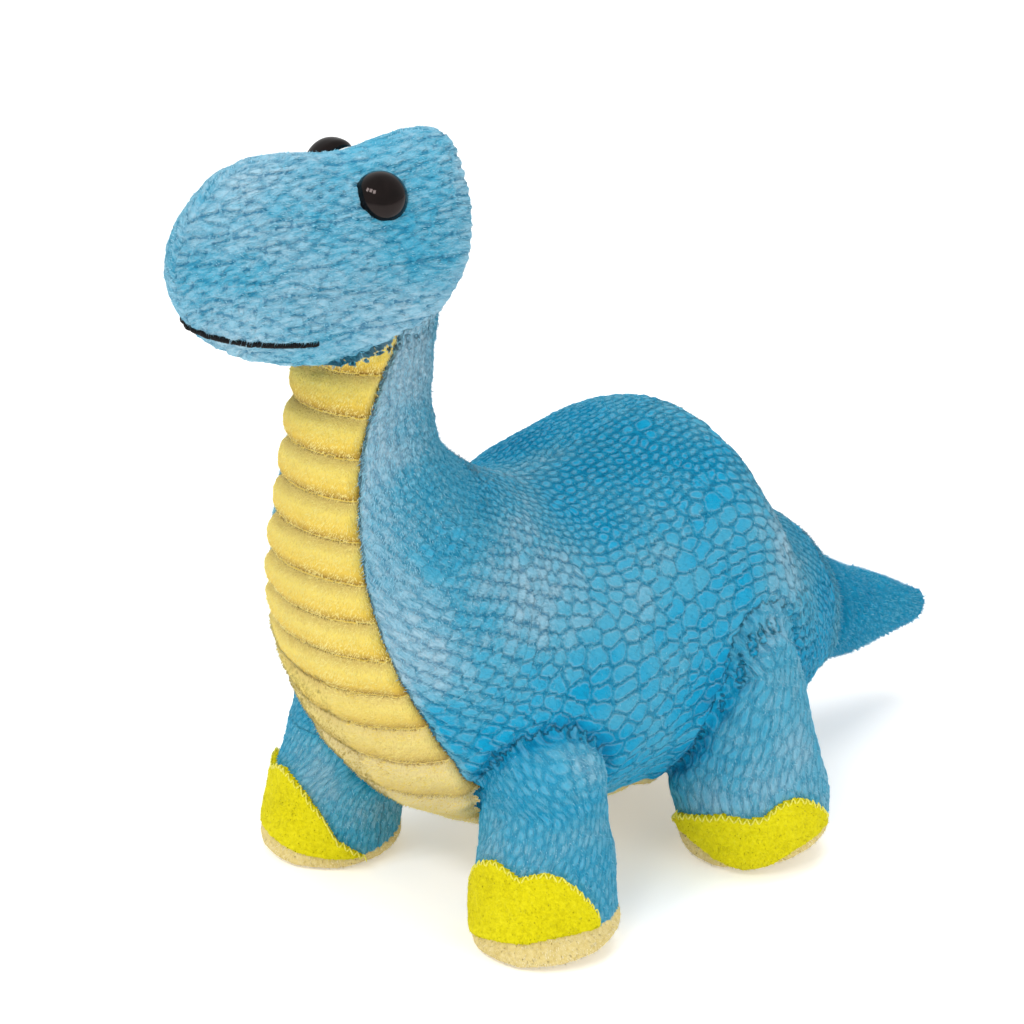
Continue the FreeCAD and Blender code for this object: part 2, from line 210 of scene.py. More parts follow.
def from_head(points):
    p = np.stack([points[:, 0] + HEAD_SIDE, -points[:, 1], points[:, 2]], 1)
    return turn_z(p, HEAD_YAW) + HEAD_PIVOT


def unit(vectors):
    return vectors / np.maximum(np.linalg.norm(vectors, axis=-1, keepdims=True), 1e-9)


def kd_tree(points):
    tree = kdtree.KDTree(len(points))
    for i, p in enumerate(points.tolist()):
        tree.insert(p, i)
    tree.balance()
    return tree


def new_object(name, data):
    obj = bpy.data.objects.new(name, data)
    bpy.context.scene.collection.objects.link(obj)
    return obj


def read(items, key, width=1, kind=np.float32):
    values = np.empty(len(items) * width, kind)
    items.foreach_get(key, values)
    return values.reshape(-1, width) if width > 1 else values


def coords(mesh):
    return read(mesh.vertices, "co", 3).astype(float) / MM


def set_coords(mesh, points):
    mesh.vertices.foreach_set("co", (points * MM).astype(np.float32).ravel())
    mesh.update()


def normals(mesh):
    return read(mesh.vertex_normals, "vector", 3).astype(float)


def edges(mesh):
    return read(mesh.edges, "vertices", 2, np.int32)


def relax(points, pairs, rounds, keep=0.5):
    """Laplacian smoothing."""
    count = np.bincount(pairs.ravel(), minlength=len(points)).astype(float)[:, None]
    for _ in range(rounds):
        total = np.zeros_like(points)
        for k in range(3):
            total[:, k] = np.bincount(pairs[:, 0], points[pairs[:, 1], k], len(points)) \
                + np.bincount(pairs[:, 1], points[pairs[:, 0], k], len(points))
        points = points + (total / np.maximum(count, 1) - points) * keep
    return points


def with_modifier(obj, kind, **settings):
    """The mesh of obj after one modifier; obj itself is removed."""
    mod = obj.modifiers.new("work", kind)
    for key, value in settings.items():
        setattr(mod, key, value)
    deps = bpy.context.evaluated_depsgraph_get()
    mesh = bpy.data.meshes.new_from_object(obj.evaluated_get(deps))
    bpy.data.objects.remove(obj)
    return mesh


# ---- source forms ----
TRUNK_STEPS = 8
TRUNK_FINE = catmull(TRUNK, TRUNK_STEPS)


def trunk_rings(count=144):
    rings = []
    cx, sx = superellipse(count, 2.0)
    for ty, tz, by, bz, w in TRUNK_FINE[:, :5]:
        top, bottom = np.array([0, ty, tz]), np.array([0, by, bz])
        mid, half = (top + bottom) / 2, (top - bottom) / 2
        rings.append(mid + cx[:, None] * half + sx[:, None] * np.array([w, 0, 0]))
    return rings


def head_rings(count=72):
    rings = []
    for f, top, bottom, w, power in catmull(HEAD, 6):
        cx, sx = superellipse(count, power)
        # the head is an egg in section: narrower over the eyes than at the cheeks
        taper = 1 - 0.20 * smooth(-0.2, 1.0, cx)
        ring = np.stack([sx * w * taper, np.full(count, f),
                         (top + bottom) / 2 + cx * (top - bottom) / 2], 1)
        rings.append(from_head(ring))
    return rings


def heel_rise(leg, dx, dy, z):
    """How far the heel side of a sole is lifted, at a place round the foot and a height."""
    way = math.copysign(0.7, LEG_HINGE[leg][0])
    toward = (dx * way + dy * 0.714) / FOOT[leg][1]
    return HEEL_RISE[leg.split("_")[0]] * np.clip(0.5 + 0.5 * toward, 0, 1) ** 2 \
        * (1 - smooth(0, 13, z))


def leg_rings(name, count=112):
    """From the ground up: a foot with a rounded sole, a shaft and a domed top."""
    hinge, (foot, radius) = LEG_HINGE[name] + TUCK.get(name, 0), FOOT[name]
    top = hinge[2]
    kind = name.split("_")[0]
    knob = KNOB[kind]
    rows = [(z, r * radius) for z, r in SHAFT[kind] + [(top * 0.75, 0.88)]]
    for a in np.arange(6) / 6 * math.pi / 2:
        rows.append((top + knob * math.sin(a), knob * math.cos(a)))
    rings = []
    inner_side = math.pi if hinge[0] > 0 else 0.0
    angle = inner_side + np.linspace(0, 2 * math.pi, count, endpoint=False)
    for z, r in catmull(rows, 8):
        share = min(z / top, 1.0)
        centre = foot + (hinge - foot) * share
        dx, dy = r * np.cos(angle), r * np.sin(angle)
        rings.append(np.stack([centre[0] + dx, centre[1] + dy,
                               z + heel_rise(name, dx, dy, z)], 1))
    return rings


FORMS = {"trunk": trunk_rings(), "head": head_rings(), **{n: leg_rings(n) for n in LEG_NAMES}}
LABELS = list(FORMS)
TRUNK_LABEL, HEAD_LABEL = LABELS.index("trunk"), LABELS.index("head")


# ---- places on the forms ----
class Chart:
    """One form's rings with the cloth's two directions: along the rings and round them."""

    def __init__(self, rings, folded):
        self.rings = np.array(rings)
        self.count, self.around = self.rings.shape[:2]
        gaps = np.linalg.norm(np.diff(self.rings, axis=0), axis=2).mean(1)
        self.along = np.concatenate([[0], np.cumsum(gaps)])
        steps = np.linalg.norm(np.roll(self.rings, -1, axis=1) - self.rings, axis=2)
        round_ = np.concatenate([np.zeros((self.count, 1)), np.cumsum(steps, axis=1)], axis=1)
        # a folded chart counts from the seam on its top both ways, an open one all the way round
        self.round = np.minimum(round_, round_[:, -1:] - round_) if folded else round_
        self.folded = folded

    def place(self, points, i, j):
        """The values of PLACE_KEYS at points near ring i and column j."""
        up, down = np.minimum(i + 1, self.count - 1), np.maximum(i - 1, 0)
        right, left = (j + 1) % self.around, (j - 1) % self.around
        t_along = (self.rings[up, j] - self.rings[down, j]) / (up - down)[:, None]
        t_round = (self.rings[i, right] - self.rings[i, left]) / 2
        d = points - self.rings[i, j]
        a = np.clip((d * t_along).sum(1) / (t_along ** 2).sum(1), -0.75, 0.75)
        b = np.clip((d * t_round).sum(1) / (t_round ** 2).sum(1), -0.75, 0.75)
        u = self.along[i] + a * (self.along[up] - self.along[down]) / (up - down)
        last = np.where((b < 0) & (j == 0), self.around, j)
        ahead = self.round[i, j] + b * (self.round[i, j + 1] - self.round[i, j])
        behind = self.round[i, last] + b * (self.round[i, last] - self.round[i, last - 1])
        v = np.where(b >= 0, ahead, behind)
        v = v + a * (self.round[up, last] - self.round[down, last]) / (up - down)
        side = np.where((j + b) % self.around < self.around / 2, 1.0, -1.0)
        if self.folded:
            t_round = t_round * side[:, None]
        else:
            side = np.ones(len(points))
        return u, v, side, unit(t_along), unit(t_round), i + a


CHARTS = {n: Chart(r, n in ("trunk", "head")) for n, r in FORMS.items()}


# u and v in mm along and round, side 1 or -1, the two directions, and the ring's number
PLACE_KEYS = ("u", "v", "side", "along", "round", "ring")


def locate(points):
    """The form under each point and its place there, as a dict of arrays."""
    tree = kd_tree(np.vstack([c.rings.reshape(-1, 3) for c in CHARTS.values()]))
    found = np.array([tree.find(p)[1] for p in points.tolist()], np.int64)
    out = {"form": np.zeros(len(points), np.int32)}
    for key in PLACE_KEYS:
        out[key] = np.zeros((len(points), 3) if key in ("along", "round") else len(points))
    base = 0
    for k, chart in enumerate(CHARTS.values()):
        size = chart.count * chart.around
        here = np.where((found >= base) & (found < base + size))[0]
        local = found[here] - base
        values = chart.place(points[here], local // chart.around, local % chart.around)
        out["form"][here] = k
        for key, value in zip(PLACE_KEYS, values):
            out[key][here] = value
        base += size
    return out


# ---- the skin ----
# the skin's voxels in mm
VOXEL = 1.0
# the cloth simulation's coarser voxels, its last frame, and the most that its moves may add
PUFF_VOXEL = 4.5
PUFF_FRAMES = 14
PUFF_CAP = 1.4


def union_skin(voxel):
    """All forms remeshed into one closed skin."""
    verts, faces, base = [], [], 0
    for rings in FORMS.values():
        v, f = tube(rings)
        verts.append(v)
        faces += [tuple(i + base for i in face) for face in f]
        base += len(v)
    mesh = bpy.data.meshes.new("skin_source")
    mesh.from_pydata([tuple(v) for v in np.vstack(verts) * MM], [], faces)
    return with_modifier(new_object("skin_source", mesh), "REMESH", mode="VOXEL",
                         voxel_size=voxel * MM)


def puff_moves():
    """How a coarse copy of the skin moves when its stuffing swells it: a short cloth simulation."""
    mesh = union_skin(PUFF_VOXEL)
    start = relax(coords(mesh), edges(mesh), 3)
    set_coords(mesh, start - normals(mesh) * 0.8)
    obj = new_object("puff", mesh)
    cloth = obj.modifiers.new("cloth", "CLOTH")
    for key, value in {"quality": 5, "mass": 0.2, "tension_stiffness": 12,
                       "compression_stiffness": 12, "bending_stiffness": 0.6,
                       "use_pressure": True, "uniform_pressure_force": 3.0}.items():
        setattr(cloth.settings, key, value)
    cloth.settings.effector_weights.gravity = 0
    cloth.collision_settings.use_collision = False
    scene = bpy.context.scene
    for step in range(1, PUFF_FRAMES + 1):
        scene.frame_set(step)
    deps = bpy.context.evaluated_depsgraph_get()
    end = coords(obj.evaluated_get(deps).data)
    scene.frame_set(1)
    bpy.data.objects.remove(obj)
    moves = end - start
    moves -= moves.mean(0)
    size = np.linalg.norm(moves, axis=1, keepdims=True)
    return start, moves * np.minimum(1, PUFF_CAP / np.maximum(size, 1e-9))


def carried(start, moves, points):
    """The moves of a coarse skin at other points, from the four nearest coarse ones."""
    tree = kd_tree(start)
    out = np.zeros_like(points)
    for k, p in enumerate(points.tolist()):
        near = tree.find_n(p, 4)
        w = np.array([1 / (d * d + 0.5) for _c, _i, d in near])
        out[k] = w @ moves[[i for _c, i, _d in near]] / w.sum()
    return out


def build_skin():
    """The whole toy's skin as one fine mesh of quads, with how hollow each place is."""
    mesh = union_skin(VOXEL)
    pairs = edges(mesh)
    points = relax(coords(mesh), pairs, 10)
    moves = carried(*puff_moves(), points)
    points = points + relax(moves, pairs, 12)
    set_coords(mesh, points)
    n = normals(mesh)
    hollow = ((relax(points, pairs, 60, 0.9) - points) * n).sum(1)
    mesh.attributes.new("hollow", "FLOAT", "POINT").data.foreach_set("value", hollow.astype("f"))
    return with_modifier(new_object("skin", mesh), "SUBSURF", levels=1, render_levels=1)


skin = build_skin()
P = coords(skin)
PAIRS = edges(skin)
QUADS = read(skin.polygons, "vertices", 4, np.int32)
HOLLOW = read(skin.attributes["hollow"].data, "value").astype(float)
WHERE = locate(P)
FORM = WHERE["form"]
# where a leg's rows of scales begin to go over its top, from the hinge's height
DOME_FROM = -3.0


def unroll_domes():
    """Above the hinges a leg's cloth goes on over the top, with the point where its rows meet
    moved to the inner side, inside the body."""
    for leg in LEG_NAMES:
        hinge, chart = LEG_HINGE[leg], CHARTS[leg]
        level = chart.rings[:, :, 2].mean(1)
        radius = float(np.interp(DOME_FROM + hinge[2], level, chart.round[:, -1])) / (2 * math.pi)
        here = (FORM == LABELS.index(leg)) & (P[:, 2] > hinge[2] + DOME_FROM)
        outward = math.copysign(1, hinge[0])
        d = P[here] - hinge
        out, high = d[:, 0] * outward, d[:, 2] - DOME_FROM
        turn = np.arctan2(d[:, 1], out + 1.2 * high) * outward
        reach = np.hypot(d[:, 1], np.maximum(out, 0)) + 0.8 * np.minimum(out, 0)
        WHERE["v"][here] = radius * (math.pi + turn)
        start = float(np.interp(DOME_FROM + hinge[2], level, chart.along))
        WHERE["u"][here] = start + radius * np.arctan2(high, reach)


def flatten_head():
    """The head's cloth hangs in level rows, from the snout back and from the top down."""
    here = FORM == HEAD_LABEL
    side, forward, up = to_head(P[here]).T
    WHERE["u"][here] = forward + 40 - 0.7 * np.abs(side)
    WHERE["v"][here] = 62 - up + 0.35 * np.abs(side)


unroll_domes()
flatten_head()


# ---- lines and areas on the skin, as signed distances in mm ----
# a field's value far from its area
OUTSIDE = -50.0
# arc length of the first rib's top, from the tail tip along the trunk's bottom line
RIB_TOP = 323.0
# radians by which the gusset is set in further round on the right side
FAR_SEAM = 0.26


def share_along(values, ring):
    """A station value at a fractional ring place."""
    return np.interp(ring, np.arange(len(values)), values)


def gusset_field(points, where):
    """Above 0 inside the belly gusset: how far from its seam round the trunk's section."""
    ring = where["ring"]
    ty, tz, by, bz, w, share = [share_along(TRUNK_FINE[:, k], ring) for k in range(6)]
    half_y, half_z = (ty - by) / 2, (tz - bz) / 2
    half = np.hypot(half_y, half_z)
    up = ((points[:, 1] - (ty + by) / 2) * half_y + (points[:, 2] - (tz + bz) / 2) * half_z)
    angle = np.arctan2(np.abs(points[:, 0]) / w, -up / half ** 2)
    edge = np.arcsin(np.clip(share, 0, 1)) + FAR_SEAM * (points[:, 0] < 0)
    field = (edge - angle) * np.sqrt(w * half)
    return np.where((where["form"] != TRUNK_LABEL) | (share < 0.02), OUTSIDE, field)


def bottom_distance(points):
    """Arc length from the tail tip of the nearest place on the trunk's bottom line."""
    line = TRUNK_FINE[:, 2:4]
    seg = np.diff(line, axis=0)
    length = np.hypot(seg[:, 0], seg[:, 1])
    start = np.concatenate([[0], np.cumsum(length)])
    best = np.full(len(points), 1e9)
    out = np.zeros(len(points))
    for k in range(len(seg)):
        d = points[:, 1:3] - line[k]
        t = np.clip(d @ seg[k] / length[k] ** 2, 0, 1)
        gap = ((d - t[:, None] * seg[k]) ** 2).sum(1)
        closer = gap < best
        best[closer], out[closer] = gap[closer], (start[k] + t * length[k])[closer]
    return out


def rib_number(arc):
    """Counts the gusset's ribs downward from the throat: whole numbers are the grooves."""
    down = RIB_TOP - arc
    upper = np.minimum(down, 118.5)
    number = upper / 10.25 - 0.00038 * np.maximum(0, upper - 65) ** 2
    return number + (down - upper) / 13.5


def foot_angle(points, leg):
    """Degrees round the foot from straight over its toes."""
    centre, hinge = FOOT[leg][0], LEG_HINGE[leg]
    d = points - (centre + (hinge - centre) * np.clip(points[:, 2:3] / hinge[2], 0, 1))
    angle = np.degrees(np.arctan2(d[:, 0], -d[:, 1])) - TOE_OUT[leg]
    return (angle + 180) % 360 - 180


# heights of a toe patch's upper edge and of the sole's seam against the angle from the toes
# toward the outer side, read off the photo: front feet, then rear feet
PATCH_TOP = {"front": [(-88, 3), (-60, 9), (-47, 15.5), (-32, 21), (-18, 24.4), (-4, 25.8),
                       (10, 24.9), (21, 23.3), (32, 24.5), (44, 25.0), (58, 23.2), (72, 19.3),
                       (85, 13.5), (92, 11)],
             "rear": [(-88, 6.5), (-60, 10.2), (-43, 13.8), (-22, 16.0), (-1, 17.8), (16, 17.0),
                      (29, 17.6), (40, 20.8), (54, 21.6), (66, 20), (79, 16.2), (92, 11)]}
SOLE_TOP = {"front": [(-180, 9.5), (-130, 6), (-85, 3.8), (-60, 4.0), (-30, 4.8), (-2, 6.6),
                      (30, 7.8), (45, 9.2), (72, 9.8), (132, 10.3), (180, 9.5)],
            "rear": [(-180, 9), (-60, 9.2), (-39, 8.5), (-13, 4.2), (9, 2.2), (29, 3.4),
                     (51, 6.9), (81, 10.2), (130, 9.4), (180, 9)]}


# degrees to each side of the toes that a patch reaches
PATCH_HALF = 88


def read_off(table, angle, leg):
    """Heights from one of the two tables at angles round a foot."""
    places, heights = np.array(table[leg.split("_")[0]]).T
    return np.interp(angle if leg.endswith("left") else -angle, places, heights)


def foot_fields(points):
    """Signed fields of the sole and the toe patch over all four feet."""
    sole, patch = np.full((2, len(points)), OUTSIDE)
    for leg in LEG_NAMES:
        here = FORM == LABELS.index(leg)
        angle, z = foot_angle(points[here], leg), points[here, 2]
        sole[here] = read_off(SOLE_TOP, angle, leg) - z
        side = (PATCH_HALF - np.abs(angle)) * 0.33
        top = read_off(PATCH_TOP, angle, leg) - z
        patch[here] = np.minimum(np.minimum(top, -sole[here]), side)
    return sole, patch


GUSSET = gusset_field(P, WHERE)
SOLE, PATCH = foot_fields(P)
N = normals(skin)


def snapped(points, values, reach=0.3, probe=0.05):
    """Moves the points nearest to the gusset's seam onto it, along the skin, for a clean edge."""
    near = np.where(np.abs(values) < reach)[0]
    where = {k: v[near] for k, v in WHERE.items()}
    here = gusset_field(points[near], where)
    grad = np.stack([(gusset_field(points[near] + shift, where) - here) / probe
                     for shift in np.eye(3) * probe], 1)
    grad -= (grad * N[near]).sum(1, keepdims=True) * N[near]
    size = np.maximum((grad ** 2).sum(1, keepdims=True), 0.05)
    step = -values[near, None] * grad / size
    length = np.linalg.norm(step, axis=1, keepdims=True)
    points = points.copy()
    points[near] += step * np.minimum(1, reach / np.maximum(length, 1e-9))
    return points


def line_distance(mask_a, mask_b, far=60.0, reach=14):
    """Distance of every skin point near the line where two forms meet from that line."""
    pair = PAIRS[(mask_a[PAIRS[:, 0]] & mask_b[PAIRS[:, 1]])
                 | (mask_b[PAIRS[:, 0]] & mask_a[PAIRS[:, 1]])]
    rim = P[np.unique(pair)]
    out = np.full(len(P), far)
    near = np.where(mask_a | mask_b)[0]
    near = near[((P[near] > rim.min(0) - reach) & (P[near] < rim.max(0) + reach)).all(1)]
    tree = kd_tree(rim)
    out[near] = [tree.find(p)[2] for p in P[near].tolist()]
    return out


def fold(distance, depth, width):
    """A groove of the given depth and width; a negative depth makes a ridge."""
    return -depth * np.exp(-(distance / width) ** 2)


P = snapped(P, GUSSET)
GUSSET = gusset_field(P, WHERE)
ARC = np.zeros(len(P))
ARC[GUSSET > -8] = bottom_distance(P[GUSSET > -8])
RIB = rib_number(ARC)
TRUNK_LENGTH = CHARTS["trunk"].along[-1]
# the tail is sewn on at the trunk's sixth station
TAIL_SEAM = share_along(CHARTS["trunk"].along, 5 * TRUNK_STEPS)
IS_TRUNK, IS_HEAD = FORM == TRUNK_LABEL, FORM == HEAD_LABEL
TAIL_PART = IS_TRUNK & (WHERE["u"] < TAIL_SEAM)
HEAD_LINE = line_distance(IS_TRUNK, IS_HEAD)
LEG_LINE = {n: line_distance(IS_TRUNK, FORM == LABELS.index(n)) for n in LEG_NAMES}
EYE_AXIS_TILT, EYE_AXIS_FORE = math.radians(24), math.radians(14)
# each eye's place in the head's frame, by its sign: outward, forward and up
EYE_PLACE = {1: (16.0, 4.2, 49.6), -1: (14.6, 5.0, 53.0)}


def eye_point(sign, along=0.0):
    """A place on an eye's axis, so far outward from its middle."""
    tilt, fore = EYE_AXIS_TILT, EYE_AXIS_FORE
    axis = np.array([math.cos(tilt) * math.cos(fore), math.cos(tilt) * math.sin(fore),
                     math.sin(tilt)])
    return from_head(((np.array(EYE_PLACE[sign]) + along * axis) * [sign, 1, 1])[None])[0]


def large_moves():
    """Folds, seams, ribs and unevenness, in mm along the skin's normal."""
    u, v = WHERE["u"], WHERE["v"]
    move = 0.55 * noise(P, (17, 19, 15), 1) + 0.3 * noise(P, (7, 8, 6), 2)
    # the tail is set into the rump: a ridge, a step down at the seam and soft folds behind it
    d = u - TAIL_SEAM - 0.8 * noise(P, 9, 3)
    tail = IS_TRUNK & (u < TAIL_SEAM + 30)
    folds = fold(d + 1.2, 1.6, 1.3) + fold(d + 6.0, 0.8, 1.2) + fold(d + 13, 0.4, 1.6)
    move += tail * (folds + fold(d - 2.2, -0.9, 2.2) - 1.3 * (d < 0) * np.exp(d / 12))
    # the head is set on the neck
    move += fold(HEAD_LINE, 0.8, 1.2)
    for leg, gap in LEG_LINE.items():
        centre = LEG_HINGE[leg]
        angle = np.arctan2(P[:, 2] - centre[2], P[:, 1] - centre[1])
        rays = np.sin(angle * 17 + 2.5 * noise(P, 11, 4)) * np.exp(-gap / 5.0)
        move += fold(gap, 1.1, 1.1) - fold(gap - 3.6, 0.5, 2.4) + 0.35 * rays * (gap < 20)
    gusset = GUSSET > 0
    bow = 1 - np.abs(2 * (RIB % 1) - 1) ** 2.8
    height = np.interp(ARC, [150, 205, 250, 300, 330], [1.1, 1.3, 1.7, 2.1, 2.2])
    inward = smooth(-0.2, 2.6, GUSSET)
    move += np.where(gusset, height * (bow * inward - 0.35), 0)
    move += np.where(IS_TRUNK, fold(GUSSET, 0.9, 0.75), 0)
    # blue cloth beside the gusset is pulled in a little at each groove
    beside = IS_TRUNK & ~gusset & (GUSSET > -8)
    move += beside * -0.35 * (1 - bow) * np.exp(GUSSET / 2.5)
    # the seams down the middle of the back and the head
    move += (IS_TRUNK & (GUSSET < -20)) * fold(v, 0.5, 0.7)
    move += IS_HEAD * fold(to_head(P)[:, 0], 0.5, 0.7)
    for sign in (-1, 1):
        move += fold(np.linalg.norm(P - eye_point(sign), axis=1), 0.8, 6.5)
    return move


# length and height of the scales on the head and the legs
CELLS = {"head": (6.2, 1.75), "front": (3.4, 2.1), "rear": (4.8, 2.6)}


def cell_size(form, u, v):
    """Length and height of one form's scales at a place of its cloth."""
    if form != "trunk":
        return CELLS[form.split("_")[0]]
    size = 3.5 + 2.8 * smooth(24, 50, v) * smooth(TRUNK_LENGTH - 100, TRUNK_LENGTH - 125, u)
    size *= 0.6 + 0.4 * smooth(95, 150, u)
    size *= 1 - 0.2 * smooth(TRUNK_LENGTH - 100, TRUNK_LENGTH - 75, u)
    return size, 2.6 + 1.4 * smooth(26, 60, v)


def row_seeds(form, length, girth):
    """Middles of the cloth's raised scales, in uneven rows along the cloth."""
    seeds, v = [], -2.0
    while v < girth + 4:
        height = cell_size(form, 0, v)[1]
        u = -rng.random() * 8
        while u < length + 8:
            step = cell_size(form, u, v)[0] * rng.uniform(0.6, 1.5)
            seeds.append((u + step / 2, v + height * (0.5 + rng.uniform(-0.27, 0.27))))
            u += step
        v += height * rng.uniform(0.9, 1.1)
    return without_crowd(np.array(seeds), length)


# the share of scales that are large and round, the room they get, and how far they stay from the
# cloth's two ends
ROUND_SHARE, ROUND_ROOM, ROUND_MARGIN = 0.012, 4.3, 60


def without_crowd(seeds, length):
    """Seeds with room cleared round a few, which become the large round scales."""
    keep = np.ones(len(seeds), bool)
    for k in np.where(rng.random(len(seeds)) < ROUND_SHARE)[0]:
        if keep[k] and ROUND_MARGIN < seeds[k, 0] < length - ROUND_MARGIN:
            gap = np.hypot(*(seeds - seeds[k]).T)
            keep &= (gap > ROUND_ROOM) | (gap == 0)
    return seeds[keep]


# scales are longer than high by 1 / SQUEEZE, rounder at the corners with a smaller ROUNDING, and
# each is smaller than its room by up to SHRINK; WARP bends their rows
SQUEEZE = 0.8
ROUNDING = 2.4
SHRINK = 0.18
WARP = np.stack([1.6 * noise(P, (15, 17, 13), 21) + 0.5 * noise(P, 5, 23),
                 1.8 * noise(P, (16, 21, 15), 22) + 0.5 * noise(P, 4, 24)], 1)
WARP[IS_HEAD] *= 0.45


def cell_edges(form, side):
    """For the points of one form and side: distance to the nearest edge between two scales,
    rounded at the corners, how far that edge runs along the cloth, and a number for each scale."""
    here = np.where((FORM == LABELS.index(form)) & (WHERE["side"] == side))[0]
    chart = CHARTS[form]
    seeds = row_seeds(form, chart.along[-1], chart.round.max())
    seeds[:, 0] *= SQUEEZE
    tree = kd_tree(np.pad(seeds, ((0, 0), (0, 1))))
    flat = np.stack([WHERE["u"][here] * SQUEEZE, WHERE["v"][here]], 1) + WARP[here]
    near = np.array([[i for _c, i, _d in tree.find_n((a, b, 0), 5)] for a, b in flat.tolist()])
    own, best, along = seeds[near[:, 0]], np.full(len(here), 9.0), np.zeros(len(here))
    total = np.zeros(len(here))
    for k in range(1, 5):
        other = seeds[near[:, k]]
        across = unit(other - own)
        gap = (((own + other) / 2 - flat) * across).sum(1)
        gap /= np.hypot(across[:, 0] * SQUEEZE, across[:, 1])
        total += np.exp(-ROUNDING * gap)
        closer = gap < best
        best[closer], along[closer] = gap[closer], np.abs(across[closer, 1])
    number = (near[:, 0] * 0.618034) % 1
    return here, -np.log(total) / ROUNDING - SHRINK * number, along, number


def scales():
    """What cell_edges finds, over the whole skin."""
    gap, along, own = np.full(len(P), 9.0), np.zeros(len(P)), np.zeros(len(P))
    for form in LABELS:
        for side in ((1.0, -1.0) if CHARTS[form].folded else (1.0,)):
            here, g, a, o = cell_edges(form, side)
            gap[here], along[here], own[here] = g, a, o
    return np.maximum(gap, 0), along, own


def strokes(long, thin, slant, seed):
    """Noise drawn out along the cloth, turned by slant: the marks left by brushed pile."""
    u, v = WHERE["u"], WHERE["v"]
    c, s = math.cos(slant), math.sin(slant)
    place = np.stack([c * u + s * v, c * v - s * u, WHERE["side"] * 9 + FORM * 31.0], 1)
    return noise(place, (long, thin, 1.0), seed)


EDGE, ALONG, OWN = scales()
NECK_PART = IS_TRUNK * smooth(TRUNK_LENGTH - 92, TRUNK_LENGTH - 68, WHERE["u"])
# how clearly the scales show, and how much of the surface is brushed pile instead
CRISP = np.where(IS_HEAD, 0.95, 0.9 - 0.3 * NECK_PART)
CRISP = np.where(TAIL_PART, 0.55, np.where(IS_HEAD | IS_TRUNK, CRISP, 0.6))
BRUSHED = np.where(IS_HEAD, 0.5, 0.2 + 0.3 * NECK_PART)
BRUSHED = np.where(TAIL_PART, 0.6, BRUSHED)
STROKE = np.where(IS_HEAD, 0.6 * strokes(3.6, 1.0, -0.06, 31) + 0.4 * strokes(6.0, 1.5, 0.1, 32),
                  0.6 * strokes(2.6, 1.0, -0.5, 33) + 0.4 * strokes(2.0, 0.9, -0.8, 34))
EDGE_WEIGHT = np.where(IS_HEAD, 0.12 + 0.88 * ALONG ** 4, 0.45 + 0.55 * ALONG ** 1.5) * CRISP
BLUE = (GUSSET < 0) & (SOLE < 0) & (PATCH < 0)
# the lowest height of any cloth over the floor
FLOOR_GAP = 0.05


def fine_moves():
    """The raised scales of the blue cloth, its brushed pile and the short pile of the rest."""
    scale = EDGE_WEIGHT * (-0.32 * np.exp(-(EDGE / 0.45) ** 2) - 0.16 * np.exp(-(EDGE / 1.3) ** 2))
    between = np.exp(-(EDGE / 0.9) ** 2)
    brushed = STROKE * (0.34 * BRUSHED + 0.2 * between * (1 - BRUSHED))
    pile = 0.10 * noise(P, 0.9, 5) + 0.14 * noise(P, (1.8, 1.8, 1.1), 6)
    short = 0.12 * noise(P, 0.8, 7) + 0.15 * noise(P, 1.6, 8)
    return np.where(BLUE, scale + brushed + pile, short)


set_coords(skin, P + N * large_moves()[:, None])
P = coords(skin)
N = normals(skin)
P[:, 2] = np.maximum(P[:, 2], FLOOR_GAP)
P = P + N * fine_moves()[:, None]
P[:, 2] = np.maximum(P[:, 2], FLOOR_GAP)
set_coords(skin, P)
N = normals(skin)


# ---- values that the materials read ----
def region(y, z, reach_y, reach_z):
    """1 at a place on both sides of the trunk, less away from it."""
    return np.exp(-(((P[:, 1] - y) / reach_y) ** 2 + ((P[:, 2] - z) / reach_z) ** 2)) * IS_TRUNK


def tone_and_painted_light():
    """0 where the pile is deep in colour, 1 where it is pale and grey, with painted light and shade
    in it.
    """
    tone = 0.54 + 0.18 * noise(P, (24, 26, 22), 11) + 0.13 * noise(P, (9, 10, 8), 12)
    # painted shade: hollows in the skin are made deeper in colour, and bulges paler as painted light
    tone -= np.clip(HOLLOW, 0, 3) * 0.22
    tone += np.clip(-HOLLOW, 0, 2) * 0.10
    tone += (OWN - 0.5) * np.where(IS_HEAD, 0.08, 0.2) * CRISP + 0.10 * STROKE * BRUSHED
    gap = WHERE["u"] - TAIL_SEAM
    tone -= 0.24 * (IS_TRUNK & (gap < -1))
    tone += 0.22 * IS_TRUNK * np.exp(-((gap - 3) / 3) ** 2)
    # painted shade on the flank, the nape and the lower trunk, and painted light on the chest, the
    # rump, the shoulder and the head
    flank = region(0, 103, 24, 9) * smooth(2, 12, np.abs(P[:, 0]))
    shoulder, rump = region(-53, 102, 16, 14), region(38, 80, 17, 20)
    nape = region(-56, 121, 9, 8)
    low = IS_TRUNK * smooth(90, 55, P[:, 2]) * (GUSSET < -3)
    chest = smooth(-26, -2, GUSSET) * smooth(55, 75, P[:, 2]) * IS_TRUNK
    pale = 0.34 * chest + 0.34 * rump + 0.24 * shoulder + IS_HEAD * 0.16
    return np.clip(tone + pale - 0.3 * flank - 0.2 * nape - 0.25 * low, 0, 1)


def groove_depth():
    """Where the cloth is darkened: painted shadow under brushed strokes, and a line along the
    gusset's seam.
    """
    under = 0.35 * BRUSHED * smooth(0.15, 0.6, -STROKE)
    seam = 0.9 * np.exp(-(GUSSET / 0.5) ** 2) * IS_TRUNK
    return np.clip(np.where(BLUE, under, 0) + seam, 0, 1)


ATTRIBUTES = {"tone": tone_and_painted_light(),
              "groove": groove_depth(),
              "edge": np.clip(EDGE, 0, 3),
              "crisp": EDGE_WEIGHT * BLUE,
              "brushed": np.clip(BRUSHED + 0.6 * np.exp(-(EDGE / 0.7) ** 2), 0, 1),
              "rib": RIB % 1,
              "low": smooth(262, 205, ARC)}
